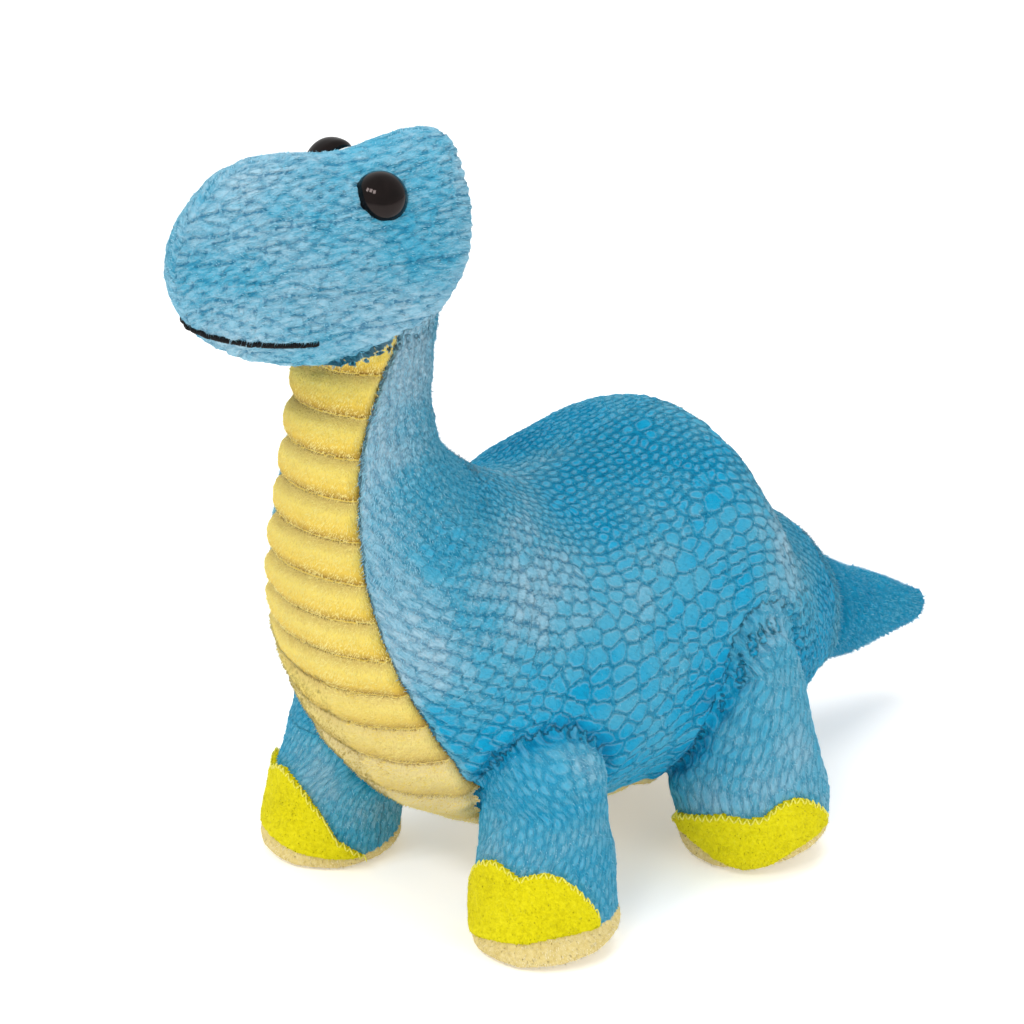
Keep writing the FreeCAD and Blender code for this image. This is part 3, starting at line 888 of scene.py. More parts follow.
# places in the cloth for the materials' noise: along and across the pile, apart for each form
SLANT = np.where(IS_HEAD, 0.05, np.where(IS_TRUNK, -0.5, -0.15))
CLOTH = np.stack([np.cos(SLANT) * WHERE["u"] + np.sin(SLANT) * WHERE["v"],
                  np.cos(SLANT) * WHERE["v"] - np.sin(SLANT) * WHERE["u"], FORM * 37.0], 1)
CLOTH[IS_HEAD] *= 0.8
CLOTH[GUSSET > -0.5] = P[GUSSET > -0.5]
ATTRIBUTES["cloth"] = CLOTH


# ---- materials ----
def rgb(r, g, b):
    """A display colour from 0 to 255 as linear numbers."""
    c = np.array([r, g, b]) / 255.0
    return tuple(np.where(c <= 0.04045, c / 12.92, ((c + 0.055) / 1.055) ** 2.4)) + (1.0,)


class Paint:
    """A node material with one Principled shader and short calls for what feeds it."""

    def __init__(self, name, **sockets):
        self.material = bpy.data.materials.new(name)
        self.material.use_nodes = True
        self.tree = self.material.node_tree
        self.shader = self.tree.nodes["Principled BSDF"]
        for key, value in sockets.items():
            self.shader.inputs[key.replace("_", " ")].default_value = value

    def feed(self, socket, value):
        if isinstance(value, bpy.types.NodeSocket):
            self.tree.links.new(value, socket)
        else:
            socket.default_value = value

    def node(self, kind, inputs=None, **settings):
        made = self.tree.nodes.new(kind)
        for key, value in settings.items():
            setattr(made, key, value)
        for key, value in (inputs or {}).items():
            self.feed(made.inputs[key], value)
        return made

    def attribute(self, name, output="Fac"):
        return self.node("ShaderNodeAttribute", attribute_name=name).outputs[output]

    def place(self):
        return self.node("ShaderNodeTexCoord").outputs["Object"]

    def math(self, operation, a, b=0.0, clamp=False):
        return self.node("ShaderNodeMath", {0: a, 1: b}, operation=operation,
                         use_clamp=clamp).outputs[0]

    def times(self, a, b):
        return self.math("MULTIPLY", a, b)

    def plus(self, a, b, clamp=False):
        return self.math("ADD", a, b, clamp)

    def swing(self, value, amount):
        """A noise about its middle value, times an amount."""
        return self.times(self.math("SUBTRACT", value, 0.5), amount)

    def stretched(self, vector, scale):
        return self.node("ShaderNodeVectorMath", {0: vector, 1: scale},
                         operation="MULTIPLY").outputs[0]

    def noise(self, vector, scale, detail=3.0, roughness=0.55):
        return self.node("ShaderNodeTexNoise", {"Vector": vector, "Scale": scale,
                                                "Detail": detail,
                                                "Roughness": roughness}).outputs["Fac"]

    def ramp(self, factor, stops):
        made = self.node("ShaderNodeValToRGB", {"Fac": factor})
        points = made.color_ramp.elements
        while len(points) < len(stops):
            points.new(0.5)
        for point, (place, colour) in zip(points, stops):
            point.position, point.color = place, colour
        return made.outputs["Color"]

    def mix(self, factor, a, b):
        return self.node("ShaderNodeMix", {0: factor, 6: a, 7: b}, data_type="RGBA").outputs[2]

    def colour(self, socket):
        self.feed(self.shader.inputs["Base Color"], socket)

    def between(self, value, low, high, at_low, at_high):
        """A smooth step from at_low to at_high while value goes from low to high."""
        return self.node("ShaderNodeMapRange", {0: value, 1: low, 2: high, 3: at_low, 4: at_high},
                         interpolation_type="SMOOTHSTEP").outputs[0]

    def bump(self, height, distance, strength=1.0):
        made = self.node("ShaderNodeBump", {"Height": height, "Distance": distance,
                                            "Strength": strength})
        self.feed(self.shader.inputs["Normal"], made.outputs["Normal"])


PLUSH = {"Roughness": 0.92, "Sheen_Weight": 0.30, "Sheen_Roughness": 0.45,
         "Specular_IOR_Level": 0.15}


def blue_plush():
    p = Paint("plush_blue", Sheen_Tint=rgb(150, 200, 220), Roughness=0.9, Sheen_Weight=0.07,
              Sheen_Roughness=0.5, Specular_IOR_Level=0.1)
    cloth = p.attribute("cloth", "Vector")
    brushed, crisp = p.attribute("brushed"), p.attribute("crisp")
    nap = p.noise(p.stretched(cloth, (0.42, 1.7, 1)), 1.0, 2.0, 0.5)
    grain = p.noise(p.stretched(cloth, (2.2, 3.4, 1)), 1.0, 3.0, 0.7)
    edge = p.plus(p.attribute("edge"), p.swing(grain, 0.4))
    stroke = p.swing(nap, brushed)
    tone = p.plus(p.attribute("tone"), p.times(stroke, 0.55))
    tone = p.plus(tone, p.swing(grain, 0.4), clamp=True)
    # the tone brings the skin's painted light and shade into this colour
    base = p.ramp(tone, [(0.0, rgb(0, 130, 176)), (0.30, rgb(6, 155, 199)),
                         (0.60, rgb(78, 166, 196)), (1.0, rgb(160, 194, 210))])
    # painted highlight: a paler band just inside each scale's edge, where its rim catches the light
    rim = p.times(p.times(p.between(edge, 0.16, 0.34, 0.0, 1.0),
                          p.between(edge, 0.40, 0.85, 1.0, 0.0)), crisp)
    lit = p.mix(p.times(rim, 0.3), base, rgb(168, 212, 232))
    line = p.times(p.between(edge, 0.0, 0.17, 1.0, 0.0), crisp)
    # brushed pile parts along thin wavy lines, where the noise crosses one value; these lines and the
    # low parts of the noise are darkened as painted shadow under the strokes
    parting = p.between(p.math("ABSOLUTE", p.math("SUBTRACT", nap, 0.45)), 0.01, 0.06, 0.3, 0.0)
    low_noise_dark = p.between(nap, 0.30, 0.43, 0.6, 0.0)
    under = p.times(p.math("MAXIMUM", parting, low_noise_dark), brushed)
    # the scales' lines, the painted shadow under the strokes and the darkened seam all go toward one
    # deep teal
    dark = p.math("MAXIMUM", line, p.math("MAXIMUM", under, p.attribute("groove")))
    p.colour(p.mix(p.times(dark, 0.8), lit, rgb(0, 96, 134)))
    height = p.plus(p.times(stroke, 1.6), p.times(grain, 0.5))
    step = p.times(p.between(edge, 0.05, 0.5, 0.0, 0.8), crisp)
    p.bump(p.math("SUBTRACT", p.plus(height, step), p.times(under, 0.3)), 0.0006)
    return p.material


def yellow_plush():
    p = Paint("plush_yellow", Sheen_Tint=rgb(255, 244, 190), **PLUSH)
    cloth = p.attribute("cloth", "Vector")
    loops = p.noise(p.stretched(cloth, (2.6, 2.6, 1.1)), 1.0, 3.0, 0.6)
    place = p.plus(p.attribute("rib"), p.swing(loops, 0.22))
    # each rib is pale at its upper edge and darker ochre toward its lower side and its grooves:
    # partly the print, partly painted shade
    chest = p.ramp(place, [(0.0, rgb(150, 112, 40)), (0.05, rgb(232, 206, 116)),
                           (0.35, rgb(255, 230, 112)), (0.70, rgb(248, 212, 84)),
                           (0.92, rgb(206, 162, 54)), (1.0, rgb(140, 100, 34))])
    belly = p.ramp(place, [(0.0, rgb(176, 142, 80)), (0.07, rgb(244, 226, 170)),
                           (0.5, rgb(246, 226, 156)), (0.85, rgb(232, 202, 118)),
                           (1.0, rgb(170, 132, 70))])
    both = p.mix(p.attribute("low"), chest, belly)
    low_noise_dark = p.between(loops, 0.34, 0.50, 0.28, 0.0)
    speck = p.mix(low_noise_dark, both, rgb(214, 170, 66))
    p.colour(p.mix(p.attribute("groove"), speck, rgb(120, 100, 30)))
    p.bump(loops, 0.0012)
    return p.material


def short_pile(name, dark, mid, pale, scale):
    """Short clipped cloth: the toe patches and the soles."""
    p = Paint(name, Sheen_Tint=pale, **PLUSH)
    fine = p.noise(p.place(), scale, 4.0, 0.7)
    broad = p.noise(p.place(), scale / 12, 2.0)
    both = p.plus(p.times(fine, 0.7), p.times(broad, 0.3))
    p.colour(p.ramp(both, [(0.30, dark), (0.5, mid), (0.72, pale)]))
    p.bump(fine, 0.0004, 0.9)
    return p.material


def thread(name, dark, pale, **sockets):
    p = Paint(name, **sockets)
    ply = p.noise(p.place(), 2600.0, 2.0)
    p.colour(p.ramp(ply, [(0.35, dark), (0.65, pale)]))
    p.bump(ply, 0.0001, 0.8)
    return p.material


def glossy_eye():
    p = Paint("eye_black", Roughness=0.06, Specular_IOR_Level=0.27,
              Specular_Tint=(1.0, 0.82, 0.78, 1))
    haze = p.noise(p.place(), 260.0, 2.0)
    p.colour(p.ramp(haze, [(0.4, rgb(4, 3, 3)), (0.7, rgb(16, 11, 11))]))
    p.feed(p.shader.inputs["Roughness"], p.plus(p.times(haze, 0.05), 0.03))
    return p.material


def fuzz(name, tint, *shades):
    """Single pile fibres: each is too small to hold a pattern, so its shade is one of these."""
    return [Paint(f"fuzz_{name}_{depth}", Base_Color=rgb(*shade), Sheen_Tint=rgb(*tint),
                  **PLUSH).material for depth, shade in zip(("deep", "mid", "pale"), shades)]


MATERIALS = {
    "plush_blue": blue_plush(),
    "plush_yellow": yellow_plush(),
    "plush_cream": short_pile("plush_cream", rgb(192, 168, 96), rgb(214, 194, 128),
                              rgb(230, 214, 160), 900.0),
    "toe_lemon": short_pile("toe_lemon", rgb(184, 172, 4), rgb(212, 201, 10),
                            rgb(226, 216, 32), 1000.0),
    "thread_yellow": thread("thread_yellow", rgb(206, 198, 24), rgb(236, 230, 88),
                            Roughness=0.6, Sheen_Weight=0.3),
    "thread_black": thread("thread_black", rgb(2, 2, 4), rgb(14, 14, 18),
                           Roughness=0.6, Specular_IOR_Level=0.2),
    "eye_black": glossy_eye(),
    "washer_white": thread("washer_white", rgb(214, 214, 208), rgb(232, 232, 228),
                           Roughness=0.45),
}
BLUE_FUZZ = fuzz("blue", (190, 220, 240), (24, 138, 176), (82, 172, 202), (140, 198, 220))
YELLOW_FUZZ = fuzz("yellow", (255, 244, 190), (206, 166, 56), (244, 216, 98), (252, 234, 146))
LEMON_FUZZ = fuzz("lemon", (250, 248, 150), (186, 176, 6), (214, 203, 14), (226, 218, 48))
CREAM_FUZZ = fuzz("cream", (255, 248, 220), (214, 188, 120), (236, 218, 160), (248, 236, 196))


# ---- pieces cut from the skin ----
def fast_mesh(name, verts, faces, vert_normals=None, attributes=None):
    """A mesh from arrays; all faces have the same number of corners."""
    faces = np.asarray(faces, np.int32)
    count, corners = faces.shape
    mesh = bpy.data.meshes.new(name)
    mesh.vertices.add(len(verts))
    mesh.vertices.foreach_set("co", (np.asarray(verts) * MM).astype(np.float32).ravel())
    mesh.loops.add(count * corners)
    mesh.loops.foreach_set("vertex_index", faces.ravel())
    mesh.polygons.add(count)
    mesh.polygons.foreach_set("loop_start", np.arange(0, count * corners, corners, dtype=np.int32))
    mesh.update(calc_edges=True)
    mesh.validate()
    mesh.polygons.foreach_set("use_smooth", np.ones(len(mesh.polygons), bool))
    for key, values in (attributes or {}).items():
        kind = "FLOAT_VECTOR" if values.ndim == 2 else "FLOAT"
        data = mesh.attributes.new(key, kind, "POINT").data
        data.foreach_set("vector" if values.ndim == 2 else "value", values.astype("f").ravel())
    if vert_normals is not None:
        mesh.normals_split_custom_set_from_vertices(vert_normals.tolist())
    return mesh


def add_piece(name, mesh, *materials):
    for material in materials:
        mesh.materials.append(material)
    return new_object(name, mesh)


def with_hem(points, vert_normals, faces, depth):
    """The faces with a hem turned inward along their open edges, as sewn cloth has."""
    starts = faces.ravel()
    ends = np.roll(faces, -1, axis=1).ravel()
    key = np.minimum(starts, ends).astype(np.int64) * len(points) + np.maximum(starts, ends)
    _keys, first, count = np.unique(key, return_index=True, return_counts=True)
    rim = first[count == 1]
    a, b = starts[rim], ends[rim]
    outward = unit(np.cross(points[b] - points[a], vert_normals[a] + vert_normals[b]))
    n = len(rim)
    inner_a, inner_b = points[a] - vert_normals[a] * depth, points[b] - vert_normals[b] * depth
    base = len(points)
    verts = np.vstack([points, points[a], points[b], inner_b, inner_a])
    ring = base + np.arange(n)
    hem = np.stack([ring + n, ring, ring + 3 * n, ring + 2 * n], 1)
    all_normals = np.vstack([vert_normals] + [outward] * 4)
    source = np.concatenate([np.arange(base), a, b, b, a])
    return verts, all_normals, np.vstack([faces, hem]), source


FACE = {"centre": P[QUADS].mean(1), "form": FORM[QUADS[:, 0]],
        "gusset": GUSSET[QUADS].mean(1), "sole": SOLE[QUADS].mean(1),
        "patch": PATCH[QUADS].mean(1)}
FACE["side"] = np.where(FACE["form"] == HEAD_LABEL, to_head(FACE["centre"])[:, 0],
                        FACE["centre"][:, 0])
HEM = 1.6
# pile grows mostly between the scales of the body and all over the brushed parts
DENSE = np.where(BLUE, BRUSHED + (1 - BRUSHED) * (0.12 + np.exp(-(EDGE / 0.7) ** 2)), 1.0)


def cut_piece(name, mask, material, lift):
    """The masked faces of the skin as a hemmed piece of cloth, raised by lift."""
    used, local = np.unique(QUADS[mask], return_inverse=True)
    points = P[used] + N[used] * lift[used][:, None]
    verts, vert_normals, faces, source = with_hem(points, N[used], local.reshape(-1, 4), HEM)
    attributes = {k: v[used][source] for k, v in ATTRIBUTES.items()}
    return add_piece(name, fast_mesh(name, verts, faces, vert_normals, attributes), material)


def spread(mask, per_mm2, seed):
    """Random places on some faces: what reads the skin's values there, the draws and how many."""
    draw = np.random.default_rng(seed)
    faces = QUADS[mask]
    a, b, c, d = (P[faces[:, k]] for k in range(4))
    area = np.linalg.norm(np.cross(c - a, d - b), axis=1) / 2
    count = int(area.sum() * per_mm2)
    area = area * DENSE[faces].mean(1)
    pick = draw.choice(len(faces), count, p=area / area.sum())
    s, t = draw.random((2, count, 1))
    corners = faces[pick]

    def between(values):
        w = [values[corners[:, k]] for k in range(4)]
        if values.ndim == 1:
            w = [x[:, None] for x in w]
        return w[0] * (1 - s) * (1 - t) + w[1] * s * (1 - t) + w[2] * s * t + w[3] * (1 - s) * t

    return between, draw, count


def pile_direction():
    """The way the pile lies at each point of the skin."""
    along, round_ = WHERE["along"], WHERE["round"]
    lie = 0.55 * along + 0.85 * round_
    side = np.sign(to_head(P[IS_HEAD])[:, 0])
    combed = np.stack([0.7 * side, np.full(len(side), -1.0), np.full(len(side), -0.2)], 1)
    lie[IS_HEAD] = from_head(combed) - from_head(np.zeros((1, 3)))
    neck = IS_TRUNK & (WHERE["u"] > TRUNK_LENGTH - 80)
    for part, back, across in ((TAIL_PART, 1.0, 0.3), (neck, 0.9, 0.35),
                               (~(IS_TRUNK | IS_HEAD), 1.0, 0.25)):
        lie[part] = (across * round_ - back * along)[part]
    return unit(lie - (lie * N).sum(1, keepdims=True) * N)


PILE = pile_direction()


# the tones at which a fibre takes the middle and the pale shade
SHADE_STEPS = (0.36, 0.66)


def add_fuzz(name, mask, lift, seed, shades, per_mm2, length, width, tilt):
    """Pile fibres as small three-sided spikes, bent over along the pile."""
    between, draw, count = spread(mask, per_mm2, seed)
    n = unit(between(N))
    root = between(P) + n * between(lift)
    lie = unit(between(PILE) + draw.normal(0, 0.32, (count, 3)))
    lie = unit(lie - (lie * n).sum(1, keepdims=True) * n)
    groove = between(ATTRIBUTES["groove"])
    tone = between(ATTRIBUTES["tone"]).ravel()
    size = length * draw.uniform(0.55, 1.25, (count, 1)) * (1 + 0.25 * groove)
    angle = tilt * draw.uniform(0.5, 1.5, (count, 1))
    tip = root + size * (np.cos(angle) * lie + np.sin(angle) * n)
    across = np.cross(n, lie) * width * draw.uniform(0.7, 1.3, (count, 1))
    root = root - n * 0.12
    # two root corners side by side, one above them, and the tip
    crown = root + n * width * 0.9 + lie * width * 0.4
    verts = np.stack([root - across, root + across, crown, tip], 1).reshape(-1, 3)
    base = np.arange(count)[:, None] * 4
    faces = np.vstack([base + [0, 3, 2], base + [1, 2, 3], base + [0, 1, 3]])
    side = unit(across)
    vert_normals = np.stack([unit(n - 0.45 * side), unit(n + 0.45 * side), n, unit(n + 0.2 * lie)],
                            1).reshape(-1, 3)
    mesh = fast_mesh(name, verts, faces, vert_normals)
    # a fibre's shade follows the skin's tone, so it carries the painted light and shade
    shade = np.digitize(tone + draw.normal(0, 0.11, count), SHADE_STEPS).astype(np.int32)
    mesh.polygons.foreach_set("material_index", np.tile(shade, 3))
    return add_piece(name, mesh, *shades)


def attach(obj, how):
    """Rides one body, given as (body,); a piece given a bend, (a, b, start, end) in mm, only has its
    placement baked into its mesh, and the bend is not used.
    """
    if len(how) == 1:
        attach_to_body(obj, how[0])
    else:
        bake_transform(obj)


# where each bend starts and ends: from the hinge up the neck or down a leg, else heights and
# distances back; the nape's own pieces begin at NAPE_FROM
NECK_WAY = np.array([0, -0.45, 0.89])
NECK_START, NECK_END = -14.0, 12.0
HEAD_START, HEAD_END = 132.0, 145.5
TAIL_START, TAIL_END = 69.0, 88.0
LEG_START, LEG_END = -8.0, 10.0
NAPE_FROM = 130.5
TAIL_TOP = 70
# the chin piece in the head's frame: its top, its back edge and half its width
CHIN_TOP, CHIN_BACK, CHIN_HALF = 11.5, -8, 19


def leg_bend(leg):
    """A leg's bend starts at the belly and ends above the foot, outward and down."""
    way = unit(np.array([math.copysign(0.4, LEG_HINGE[leg][0]), 0, -0.92]))
    return "torso", leg + "_leg", LEG_START * way, LEG_END * way


NECK_BEND = ("torso", "neck", NECK_HINGE + NECK_WAY * NECK_START,
             NECK_HINGE + NECK_WAY * NECK_END)
NAPE_BEND = ("neck", "head", (0, -76, HEAD_START), (0, -76, HEAD_END))
TAIL_BEND = ("torso", "tail", (0, TAIL_START, 44), (0, TAIL_END, 44))


# ---- the cloth pieces and their pile ----
def cloth_areas():
    """Each cloth piece: its faces, how it moves, slot, replaced nodes and how full it is."""
    centre, form = FACE["centre"], FACE["form"]
    trunk, head = form == TRUNK_LABEL, form == HEAD_LABEL
    up_neck = (centre - NECK_HINGE) @ NECK_WAY
    yellow = trunk & (FACE["gusset"] > 0)
    tail = trunk & (centre[:, 1] > TAIL_START) & (centre[:, 2] < TAIL_TOP)
    neck = trunk & (up_neck > NECK_START) & (centre[:, 2] < NAPE_FROM)
    nape = trunk & (centre[:, 2] >= NAPE_FROM)
    torso = trunk & ~tail & ~neck & ~nape
    side, forward, up = to_head(centre).T
    chin = head & (up < CHIN_TOP) & (forward > CHIN_BACK) & (np.abs(side) < CHIN_HALF)
    areas = {}
    for side, here in (("left", FACE["side"] > 0), ("right", FACE["side"] < 0)):
        inner = side == "left"
        areas["body_" + side] = (torso & ~yellow & here, ("torso",), "plush_blue",
                                 ["body_panel_" + side] + ["body_stuffing"] * inner, 0.9)
        areas["neck_" + side] = (neck & ~yellow & here, NECK_BEND, "plush_blue",
                                 ["neck_panel_" + side] + ["neck_stuffing"] * inner, 0.8)
        areas["nape_" + side] = (nape & ~yellow & here, NAPE_BEND, "plush_blue", [], 0.8)
        areas["head_" + side] = (head & ~chin & here, ("head",), "plush_blue",
                                 ["head_panel_" + side] + ["head_stuffing"] * inner, 0.95)
        areas["tail_" + side] = (tail & here, TAIL_BEND, "plush_blue",
                                 ["tail_panel_" + side] + ["tail_stuffing"] * inner, 0.7)
    areas["belly_gusset"] = (torso & yellow, ("torso",), "plush_yellow", ["belly_panel"], 0.9)
    areas["throat_gusset"] = (neck & yellow, NECK_BEND, "plush_yellow", ["throat_panel"], 0.8)
    areas["upper_throat_gusset"] = (nape & yellow, NAPE_BEND, "plush_yellow", [], 0.8)
    areas["chin"] = (chin, ("head",), "plush_blue", ["chin_panel"], 0.9)
    for leg in LEG_NAMES:
        here = form == LABELS.index(leg)
        sole, patch = FACE["sole"] > 0, FACE["patch"] > 0
        bend = leg_bend(leg)
        areas[leg + "_leg_cover"] = (here & ~sole & ~patch, bend, "plush_blue",
                                     [leg + "_cover", leg + "_stuffing"], 0.9)
        areas[leg + "_foot_sole"] = (here & sole, bend, "plush_cream", [leg + "_sole"], 0.9)
        areas[leg + "_foot_patch"] = (here & ~sole & patch, bend, "toe_lemon",
                                      [leg + "_toe_patch"], 0.9)
    return areas


# pile of each slot: fibre shades, fibres per mm2, length, width, lift in radians
PILE_KINDS = {"plush_blue": (BLUE_FUZZ, 1.0, 0.9, 0.11, 0.42),
              "plush_yellow": (YELLOW_FUZZ, 2.4, 0.8, 0.12, 0.7),
              "toe_lemon": (LEMON_FUZZ, 2.4, 0.6, 0.10, 0.8),
              "plush_cream": (CREAM_FUZZ, 2.2, 0.7, 0.11, 0.8)}
FLUFFY = ("tail", "neck", "nape")
# how far the patches and soles stand off the skin, beside the other cloth
LIFT = {"toe_lemon": 0.9 * smooth(-0.2, 0.7, PATCH) + 0.25, "plush_cream": 0.5 * smooth(0, 2.5, SOLE)}


def build_cloth():
    for seed, (name, (mask, how, slot, nodes, fill)) in enumerate(cloth_areas().items(), 100):
        lift = LIFT.get(slot, np.zeros(len(P)))
        piece = cut_piece(name, mask, MATERIALS[slot], lift)
        attach(piece, how)
        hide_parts(*nodes)
        shades, density, length, width, tilt = PILE_KINDS[slot]
        if name.startswith(FLUFFY) and slot == "plush_blue":
            density, length, tilt = density * 1.7, length * 1.5, tilt * 1.7
        fibres = add_fuzz(name + "_pile", mask, lift, seed, shades, density, length, width, tilt)
        attach(fibres, how)


build_cloth()


# ---- stitches ----
def capsule(start, end, up, radius, sag, sides=6, rings=5):
    """A short thread from start to end that bulges up by sag, as points and quads."""
    axis = unit(end - start)
    side = unit(np.cross(axis, up))
    lift = np.cross(side, axis)
    verts = []
    for k in range(rings):
        t = k / (rings - 1)
        centre = start + (end - start) * t + lift * sag * math.sin(math.pi * t)
        r = radius * (0.45 + 0.55 * math.sin(math.pi * t))
        for j in range(sides):
            a = 2 * math.pi * j / sides
            verts.append(centre + r * (math.cos(a) * side + math.sin(a) * lift))
    faces = [(k * sides + j, k * sides + (j + 1) % sides, (k + 1) * sides + (j + 1) % sides,
              (k + 1) * sides + j) for k in range(rings - 1) for j in range(sides)]
    return verts, faces


def thread_piece(name, spans, radius, material, sag=0.3):
    """Many short threads, each (start, end, up), as one piece."""
    verts, faces = [], []
    for start, end, up in spans:
        v, f = capsule(start, end, up, radius, sag)
        faces += [tuple(i + len(verts) for i in quad) for quad in f]
        verts += v
    return add_piece(name, fast_mesh(name, np.array(verts), faces), material)


# how far outside a form the rays that meet it start
RAY_FROM = 60


def surface_tree(form):
    used, local = np.unique(QUADS[FACE["form"] == LABELS.index(form)], return_inverse=True)
    return BVHTree.FromPolygons(P[used].tolist(), local.reshape(-1, 4).tolist())


def surface_row(form, rays, step):
    """Points and normals, at least step apart, where rays (origin, way out) meet a form."""
    tree = surface_tree(form)
    row = []
    for origin, way in rays:
        hit, normal, _i, _d = tree.ray_cast(origin + way * RAY_FROM, -way)
        if hit and (not row or np.linalg.norm(np.array(hit) - row[-1][0]) > step):
            row.append((np.array(hit), np.array(normal)))
    return row


def patch_rays(leg):
    """Rays out through the upper edge of a toe patch."""
    centre, hinge = FOOT[leg][0], LEG_HINGE[leg]
    for angle in np.arange(-86, 86.5, 0.5):
        z = float(read_off(PATCH_TOP, angle, leg)) - 0.5
        middle = centre + (hinge - centre) * (z / hinge[2])
        turn = math.radians(angle + TOE_OUT[leg])
        yield Vector((middle[0], middle[1], z)), Vector((math.sin(turn), -math.cos(turn), 0))


# the zigzag's distance between turns and half its height
ZIGZAG_STEP, ZIGZAG_HALF = 1.0, 0.95


def build_toe_stitches():
    for leg in LEG_NAMES:
        row = surface_row(leg, patch_rays(leg), ZIGZAG_STEP)
        spans = []
        for k in range(len(row) - 1):
            (a, na), (b, nb) = row[k], row[k + 1]
            rise = np.array([0, 0, ZIGZAG_HALF if k % 2 else -ZIGZAG_HALF])
            spans.append((a + rise + na, b - rise + nb, na + nb))
        piece = thread_piece(leg + "_patch_zigzag", spans, 0.23, MATERIALS["thread_yellow"])
        attach(piece, leg_bend(leg))
        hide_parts(leg + "_toe_stitch")


# degrees to each side, and the distance between stitches
MOUTH_REACH, MOUTH_STEP = 84, 0.40


def mouth_rays():
    """Rays out through the mouth, from a place inside the snout."""
    for angle in np.arange(-MOUTH_REACH, MOUTH_REACH, 0.25):
        turn = math.radians(angle)
        height = 18.6 + 1.6 * math.cos(turn) - 0.8 * math.sin(turn) ** 2
        start, end = from_head(np.array([[0, 20, height], [40 * math.sin(turn),
                                                           20 + 60 * math.cos(turn), height]]))
        yield Vector(start), Vector(end - start).normalized()


def build_mouth():
    rows, spans = surface_row("head", mouth_rays(), MOUTH_STEP), []
    draw = np.random.default_rng(5)
    for k in range(1, len(rows) - 1):
        a, na = rows[k]
        along = unit(rows[k + 1][0] - rows[k - 1][0])
        up = unit(np.cross(na, along))
        end_taper = min(1.0, k / 6, (len(rows) - k) / 6)
        half = 0.85 * (0.5 + 0.5 * end_taper) + draw.uniform(-0.1, 0.1)
        skew = along * 0.25
        spans.append((a - up * half - skew + na * 0.15, a + up * half + skew + na * 0.15, na))
    piece = thread_piece("mouth_line", spans, 0.27, MATERIALS["thread_black"], 0.45)
    attach(piece, ("head",))
    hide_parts("mouth_stitch")


build_toe_stitches()
build_mouth()


# ---- eyes ----
# outlines about the eye's axis: radius, height over the cloth
EYE_PROFILE = [(0, 5.3), (1.7, 5.15), (3.3, 4.6), (4.75, 3.55), (5.75, 2.1), (6.3, 0.6),
               (6.45, -0.4), (6.2, -1.2), (5.4, -1.8), (2.5, -1.9), (0, -1.9)]
WASHER_PROFILE = [(2.3, -2.7), (6.6, -3.3), (6.9, -3.7), (6.6, -4.1), (2.3, -3.9), (2.3, -2.7)]


def lathe(name, profile, seat, turn, material, count=64):
    """A piece turned about its own axis: seat is its middle and turn points the axis."""
    verts, faces = [], []
    for r, h in profile:
        for j in range(count):
            a = 2 * math.pi * j / count
            local = Vector((max(r, 0.001) * math.cos(a), max(r, 0.001) * math.sin(a), h - 0.3))
            verts.append(np.array(turn @ local + seat))
    for k in range(len(profile) - 1):
        for j in range(count):
            a, b = k * count + j, k * count + (j + 1) % count
            faces.append((a, a + count, b + count, b))
    piece = add_piece(name, fast_mesh(name, np.array(verts), faces), material)
    attach(piece, ("head",))
    return piece


def build_eye(side, sign):
    """A domed button seated on the cloth, with its washer under the cloth."""
    inner, outer = eye_point(sign, -10), eye_point(sign, 20)
    way = Vector(outer - inner).normalized()
    seat, _n, _i, _d = surface_tree("head").ray_cast(Vector(outer), -way)
    turn = way.to_track_quat("Z", "X").to_matrix()
    dome = lathe("eye_dome_" + side, catmull(EYE_PROFILE, 4), seat, turn, MATERIALS["eye_black"])
    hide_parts("eye_" + side)
    washer = lathe("eye_back_" + side, WASHER_PROFILE, seat, turn, MATERIALS["washer_white"])
    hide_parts("eye_washer_" + side)


build_eye("left", 1)
build_eye("right", -1)


# ---- floor, light and camera ----
TARGET = Vector((0, -0.027, 0.094))
CAMERA_AZIMUTH, CAMERA_ELEVATION, CAMERA_DISTANCE = math.radians(45.5), math.radians(20.3), 1.0
# metres across the picture at the target
VIEW_WIDTH = 0.256
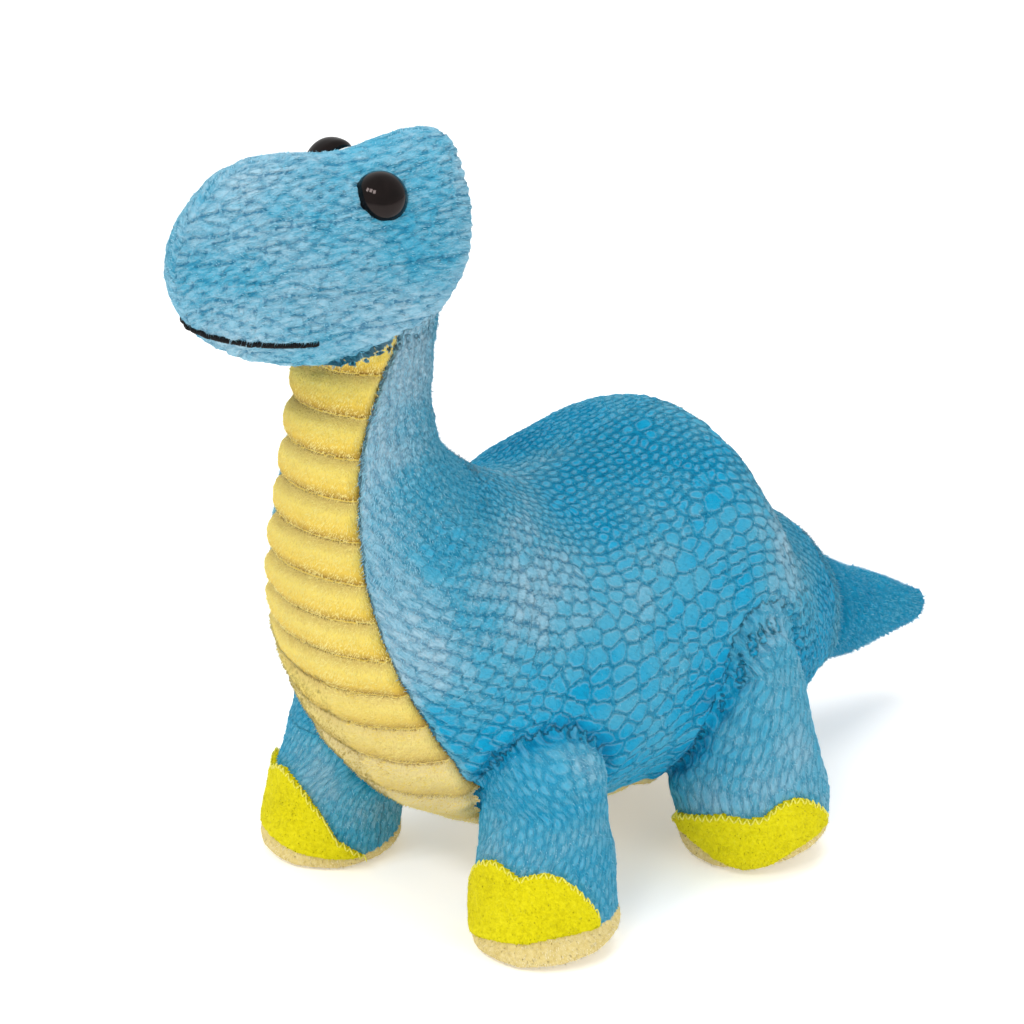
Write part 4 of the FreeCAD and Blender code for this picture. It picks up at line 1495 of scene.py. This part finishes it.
# lamps: name, place, size in metres and power in watts
LAMPS = [("key_left", (-0.32, -1.15, 1.15), 0.30, 3.5),
         ("key_middle", (0.10, -1.15, 1.2), 0.30, 3.5),
         ("key_right", (0.52, -1.05, 1.15), 0.30, 3.5),
         ("fill", (1.3, -0.1, 0.6), 0.9, 3.0),
         ("top", (-0.1, 0.3, 1.5), 0.9, 9.0)]


def build_floor():
    paint = Paint("pale_floor", Roughness=0.9, Specular_IOR_Level=0.1,
                  Emission_Color=(1, 1, 1, 1), Emission_Strength=0.3)
    paint.colour(paint.ramp(paint.noise(paint.place(), 3.0), [(0.3, rgb(244, 244, 243)),
                                                              (0.7, rgb(250, 250, 250))]))
    size = 6.0
    mesh = bpy.data.meshes.new("floor")
    mesh.from_pydata([(-size, -size, 0), (size, -size, 0), (size, size, 0), (-size, size, 0)],
                     [], [(0, 1, 2, 3)])
    add_piece("floor", mesh, paint.material)


def build_light():
    world = bpy.data.worlds.new("studio")
    bpy.context.scene.world = world
    world.use_nodes = True
    sky = world.node_tree.nodes["Background"].inputs
    sky["Color"].default_value = (1, 1, 1, 1)
    sky["Strength"].default_value = 0.67
    for name, place, size, power in LAMPS:
        data = bpy.data.lights.new(name, "AREA")
        data.size, data.energy = size, power
        lamp = new_object(name, data)
        lamp.location = place
        lamp.rotation_euler = (TARGET - Vector(place)).to_track_quat("-Z", "Y").to_euler()
        lamp.visible_glossy = name.startswith("key")


def build_camera():
    a, e = CAMERA_AZIMUTH, CAMERA_ELEVATION
    back = Vector((math.sin(a) * math.cos(e), -math.cos(a) * math.cos(e), math.sin(e)))
    data = bpy.data.cameras.new("camera")
    data.sensor_width = 36
    data.lens = data.sensor_width * CAMERA_DISTANCE / VIEW_WIDTH
    camera = new_object("camera", data)
    camera.location = TARGET + back * CAMERA_DISTANCE
    camera.rotation_euler = (-back).to_track_quat("-Z", "Y").to_euler()
    bpy.context.scene.camera = camera


build_floor()
build_light()
build_camera()
bpy.context.scene.view_settings.view_transform = "Standard"
bpy.data.meshes.remove(skin)
